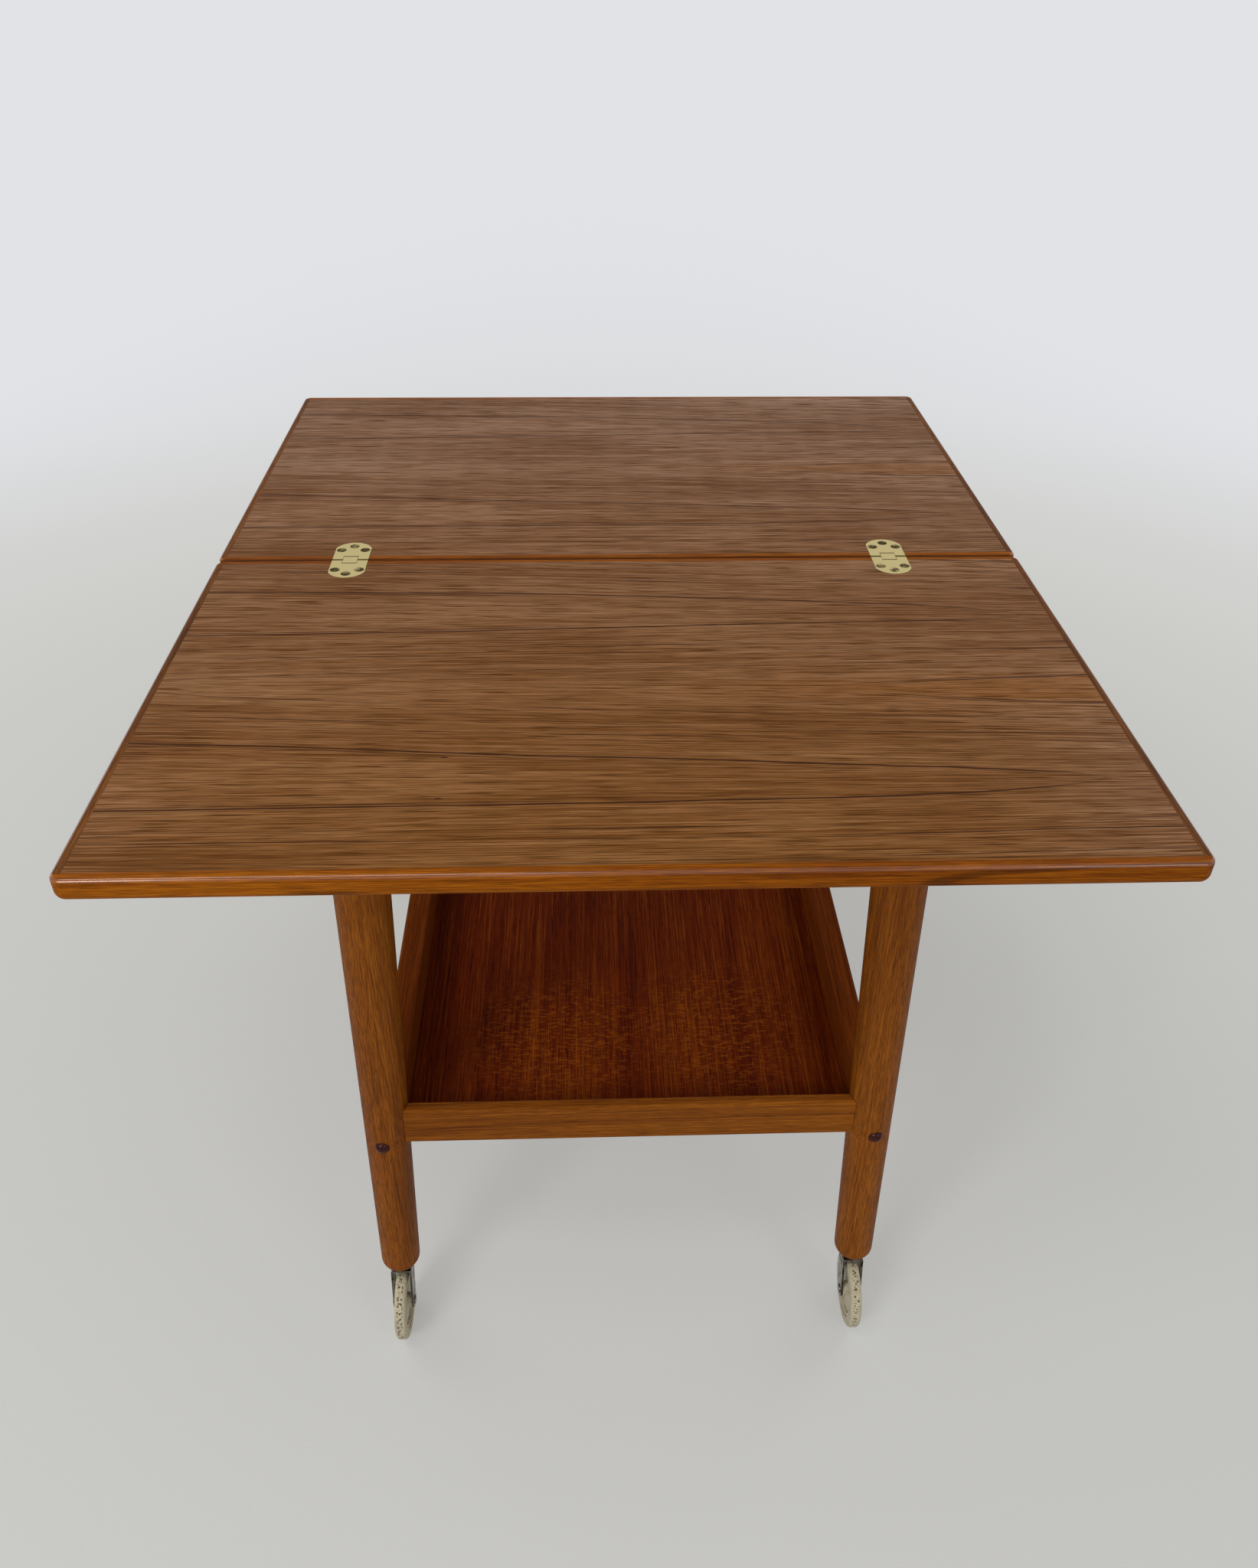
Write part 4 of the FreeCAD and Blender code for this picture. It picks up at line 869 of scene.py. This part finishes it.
class TROLLEY_OT_castors(Operator):
    """Finishes the castors: worn nickel forks and sockets, cream wheels"""

    bl_idname = "trolley.castors"
    bl_label = "Finish the castors"

    # Half the width of a tyre's pitted band, where the pits end and where they are whole, in metres
    PITTED_BAND = (0.0038, 0.0015)
    PITS_TO_METRE = 420.0
    # How far pits show beside that band
    STRAY_PITS = 0.08

    def nickel(self, colours):
        """Plating that has gone dull in spots."""
        finish = Finish("worn_nickel")
        patches = finish.speckle(to_metre=120.0, detail=4.0, roughness=0.65)
        spots = finish.fade(finish.speckle(to_metre=620.0), 0.60, 0.70)
        worn = finish.larger(finish.fade(patches, 0.48, 0.66), finish.times(spots, 0.7))
        shade = finish.tint(worn, colours.nickel_pale, colours.nickel_worn)
        roughness = finish.weighted(worn, 0.26, 0.20)
        return finish.done(finish.shader(worn, shade, roughness, depth=0.00005, Metallic=1.0))

    def tyre(self, colours, corner):
        """Old cream rubber, pitted and dirty along the middle of the tread."""
        finish = Finish("tyre_rubber_" + corner)
        place = finish.place()
        middle = middle_of("castor_" + corner + "_tyre")
        off = finish.calc("ABSOLUTE", finish.minus(finish.split(place)[0], middle.x))
        tread = finish.fade(off, *self.PITTED_BAND)
        cells = finish.add("ShaderNodeTexVoronoi", {"Vector": place, "Scale": self.PITS_TO_METRE})
        holes = finish.speckle(to_metre=310.0)
        pits = finish.fade(cells.outputs["Distance"], 0.48, 0.28)
        pits = finish.times(pits, finish.fade(holes, 0.43, 0.49))
        pits = finish.times(pits, finish.weighted(tread, 1 - self.STRAY_PITS, self.STRAY_PITS))
        grime_and_shade = finish.speckle(to_metre=85.0, detail=4.0, roughness=0.6)
        dirt_and_shade = finish.times(finish.fade(grime_and_shade, 0.44, 0.72), 0.30)
        shade = finish.tint(dirt_and_shade, colours.tyre, colours.tyre_dirt)
        shade = finish.tint(pits, shade, colours.tyre_dirt)
        roughness = finish.weighted(dirt_and_shade, 0.40, 0.52)
        height = finish.weighted(pits, -1.0, finish.times(grime_and_shade, 0.15))
        return finish.done(finish.shader(height, shade, roughness, depth=0.0006, Specular_IOR_Level=0.30))

    def hub(self, colours):
        """Moulded cream core, dirty in patches."""
        finish = Finish("hub_cream")
        grime_and_shade = finish.speckle(to_metre=140.0, detail=4.0, roughness=0.6)
        fine = finish.speckle(to_metre=1100.0)
        dirt_and_shade = finish.times(finish.fade(grime_and_shade, 0.45, 0.75), 0.40)
        shade = finish.tint(dirt_and_shade, colours.hub, colours.tyre_dirt)
        roughness = finish.weighted(grime_and_shade, 0.30, 0.36)
        return finish.done(finish.shader(fine, shade, roughness, depth=0.00006, Specular_IOR_Level=0.35))

    def execute(self, context):
        colours = context.scene.trolley_colours
        nickel = self.nickel(colours)
        hub = self.hub(colours)
        wear("castor_sockets", nickel)
        for corner in CORNERS:
            for part in ("fork", "stem", "axle"):
                wear("castor_" + corner + "_" + part, nickel)
            wear("castor_" + corner + "_tyre", self.tyre(colours, corner))
            wear("castor_" + corner + "_hub", hub)
        return {"FINISHED"}


class TROLLEY_OT_stage(Operator):
    """Sets up the plain floor and backdrop, the soft lamps and the camera"""

    bl_idname = "trolley.stage"
    bl_label = "Set up the studio"

    COVE_STEPS = 16
    # Each lamp, the setting with its power, its place, and its width and depth, in metres
    LAMPS = (
        ("key_lamp", "key_power", (-0.65, -1.0, 2.5), 1.4, 0.25),
        ("left_lamp", "left_power", (-1.5, -2.3, 1.8), 0.9, 0.9),
        ("right_lamp", "right_power", (1.5, -2.3, 1.8), 0.9, 0.9),
        ("back_left_lamp", "back_power", (-2.1, 1.3, 1.7), 1.6, 1.6),
        ("back_right_lamp", "back_power", (2.1, 1.3, 1.7), 1.6, 1.6),
    )
    # The point that the lamps are turned to, in metres
    LAMP_TARGET = (0.0, 0.0, 0.4)
    # Width of the camera's sensor, in millimetres
    SENSOR_WIDTH = 36.0

    def sweep(self, studio):
        """Floor and backdrop in one sheet, with a wide bend between them."""
        rise = studio.wall_distance - studio.cove_radius
        profile = [(-studio.floor_reach, 0.0), (rise, 0.0)]
        for step in range(1, self.COVE_STEPS + 1):
            angle = math.pi / 2 * step / self.COVE_STEPS
            out = studio.cove_radius * math.sin(angle)
            up = studio.cove_radius * (1 - math.cos(angle))
            profile.append((rise + out, up))
        profile.append((studio.wall_distance, studio.wall_height))
        mesh = bmesh.new()
        left = [mesh.verts.new((-studio.floor_reach, y, z)) for y, z in profile]
        right = [mesh.verts.new((studio.floor_reach, y, z)) for y, z in profile]
        for step in range(len(profile) - 1):
            mesh.faces.new((left[step], right[step], right[step + 1], left[step + 1]))
        sweep = smooth_object("studio_sweep", mesh, self.paint(studio))

    def paint(self, studio):
        """Matt paint that keeps the trolley's shadow near it and has one even tone further off."""
        finish = Finish("studio_paint")
        place = finish.place()
        fine = finish.speckle(to_metre=220.0, detail=3.0)
        roughness = finish.weighted(fine, 0.10, 0.74)
        matt = finish.shader(fine, studio.floor, roughness, depth=0.00020, Specular_IOR_Level=0.15)
        away = finish.reach(place)
        far = finish.fade(away, studio.wall_start, studio.wall_distance)
        tone = finish.tint(far, studio.floor, studio.wall)
        even = finish.add("ShaderNodeEmission", {"Color": tone, "Strength": 1.0}).outputs[0]
        near = finish.fade(away, studio.shadow_end, studio.shadow_start)
        shade = finish.times(near, studio.shadow_share)
        amount = finish.times(finish.minus(1.0, shade), finish.seen())
        return finish.done(finish.add("ShaderNodeMixShader", {0: amount, 1: matt, 2: even}).outputs[0])

    def light_all_round(self, studio):
        """Even light for the object, and a pale backdrop where the camera or a reflection meets it."""
        world = bpy.data.worlds.new("studio_light")
        world.use_nodes = True
        maker = NodeMaker(world.node_tree)
        white = (1.0, 1.0, 1.0, 1.0)
        even = maker.add("ShaderNodeBackground", {"Color": white, "Strength": studio.ambient}).outputs[0]
        pale = maker.add("ShaderNodeBackground", {"Color": studio.wall, "Strength": 1.0}).outputs[0]
        either = maker.add("ShaderNodeMixShader", {0: maker.seen(), 1: even, 2: pale}).outputs[0]
        maker.add("ShaderNodeOutputWorld", {"Surface": either})
        bpy.context.scene.world = world

    def soft_lamp(self, name, place, power, width, depth):
        """A flat soft lamp that points at the middle of the trolley."""
        lamp = bpy.data.lights.new(name, "AREA")
        lamp.shape = "RECTANGLE"
        lamp.energy = power
        lamp.size = width
        lamp.size_y = depth
        holder = bpy.data.objects.new(name, lamp)
        holder.location = place
        aim = Vector(self.LAMP_TARGET) - Vector(place)
        holder.rotation_euler = aim.to_track_quat("-Z", "Y").to_euler()
        holder.visible_camera = False
        bpy.context.scene.collection.objects.link(holder)

    def aim_camera(self, studio):
        """The photograph's viewpoint."""
        pitch, yaw, roll = studio.camera_pitch, studio.camera_yaw, studio.camera_roll
        level = math.cos(pitch)
        forward = Vector((math.sin(yaw) * level, math.cos(yaw) * level, -math.sin(pitch)))
        right = Vector((math.cos(yaw), -math.sin(yaw), 0.0))
        up = right.cross(forward)
        tipped_right = math.cos(roll) * right + math.sin(roll) * up
        tipped_up = math.cos(roll) * up - math.sin(roll) * right
        turn = Matrix((tipped_right, tipped_up, -forward)).transposed().to_4x4()
        camera = bpy.data.cameras.new("photo_view")
        camera.sensor_width = self.SENSOR_WIDTH
        camera.lens = studio.camera_lens
        holder = bpy.data.objects.new("photo_view", camera)
        holder.matrix_world = Matrix.Translation(Vector(studio.camera_place)) @ turn
        bpy.context.scene.collection.objects.link(holder)
        bpy.context.scene.camera = holder

    def execute(self, context):
        studio = context.scene.trolley_studio
        self.sweep(studio)
        self.light_all_round(studio)
        for name, power, place, width, depth in self.LAMPS:
            self.soft_lamp(name, place, getattr(studio, power), width, depth)
        self.aim_camera(studio)
        context.scene.view_settings.view_transform = "Standard"
        return {"FINISHED"}


STEPS = (TROLLEY_OT_leaves, TROLLEY_OT_lippings, TROLLEY_OT_legs, TROLLEY_OT_aprons, TROLLEY_OT_tray,
         TROLLEY_OT_plugs, TROLLEY_OT_hinges, TROLLEY_OT_swivel, TROLLEY_OT_felt_pads, TROLLEY_OT_castors,
         TROLLEY_OT_stage)
GROUPS = (
    ("trolley_colours", TrolleyColours),
    ("trolley_sizes", TrolleySizes),
    ("trolley_studio", TrolleyStudio),
)


class TROLLEY_PT_finishes(Panel):
    """The trolley's steps and settings"""

    bl_idname = "TROLLEY_PT_finishes"
    bl_label = "Tea trolley"
    bl_space_type = "VIEW_3D"
    bl_region_type = "UI"
    bl_category = "Tea trolley"

    def draw(self, context):
        for step in STEPS:
            self.layout.operator(step.bl_idname)
        for name, group in GROUPS:
            box = self.layout.box()
            settings = getattr(context.scene, name)
            for setting in group.__annotations__:
                box.prop(settings, setting)


def register():
    for name, group in GROUPS:
        bpy.utils.register_class(group)
        setattr(bpy.types.Scene, name, PointerProperty(type=group))
    for step in STEPS:
        bpy.utils.register_class(step)
    bpy.utils.register_class(TROLLEY_PT_finishes)


def unregister():
    bpy.utils.unregister_class(TROLLEY_PT_finishes)
    for step in reversed(STEPS):
        bpy.utils.unregister_class(step)
    for name, group in reversed(GROUPS):
        delattr(bpy.types.Scene, name)
        bpy.utils.unregister_class(group)


def main():
    """Finishes the trolley step by step."""
    register()
    bpy.ops.trolley.leaves()
    bpy.ops.trolley.lippings()
    bpy.ops.trolley.legs()
    bpy.ops.trolley.aprons()
    bpy.ops.trolley.tray()
    bpy.ops.trolley.plugs()
    bpy.ops.trolley.hinges()
    bpy.ops.trolley.swivel()
    bpy.ops.trolley.felt_pads()
    bpy.ops.trolley.castors()
    bpy.ops.trolley.stage()


if __name__ == "__main__":
    main()
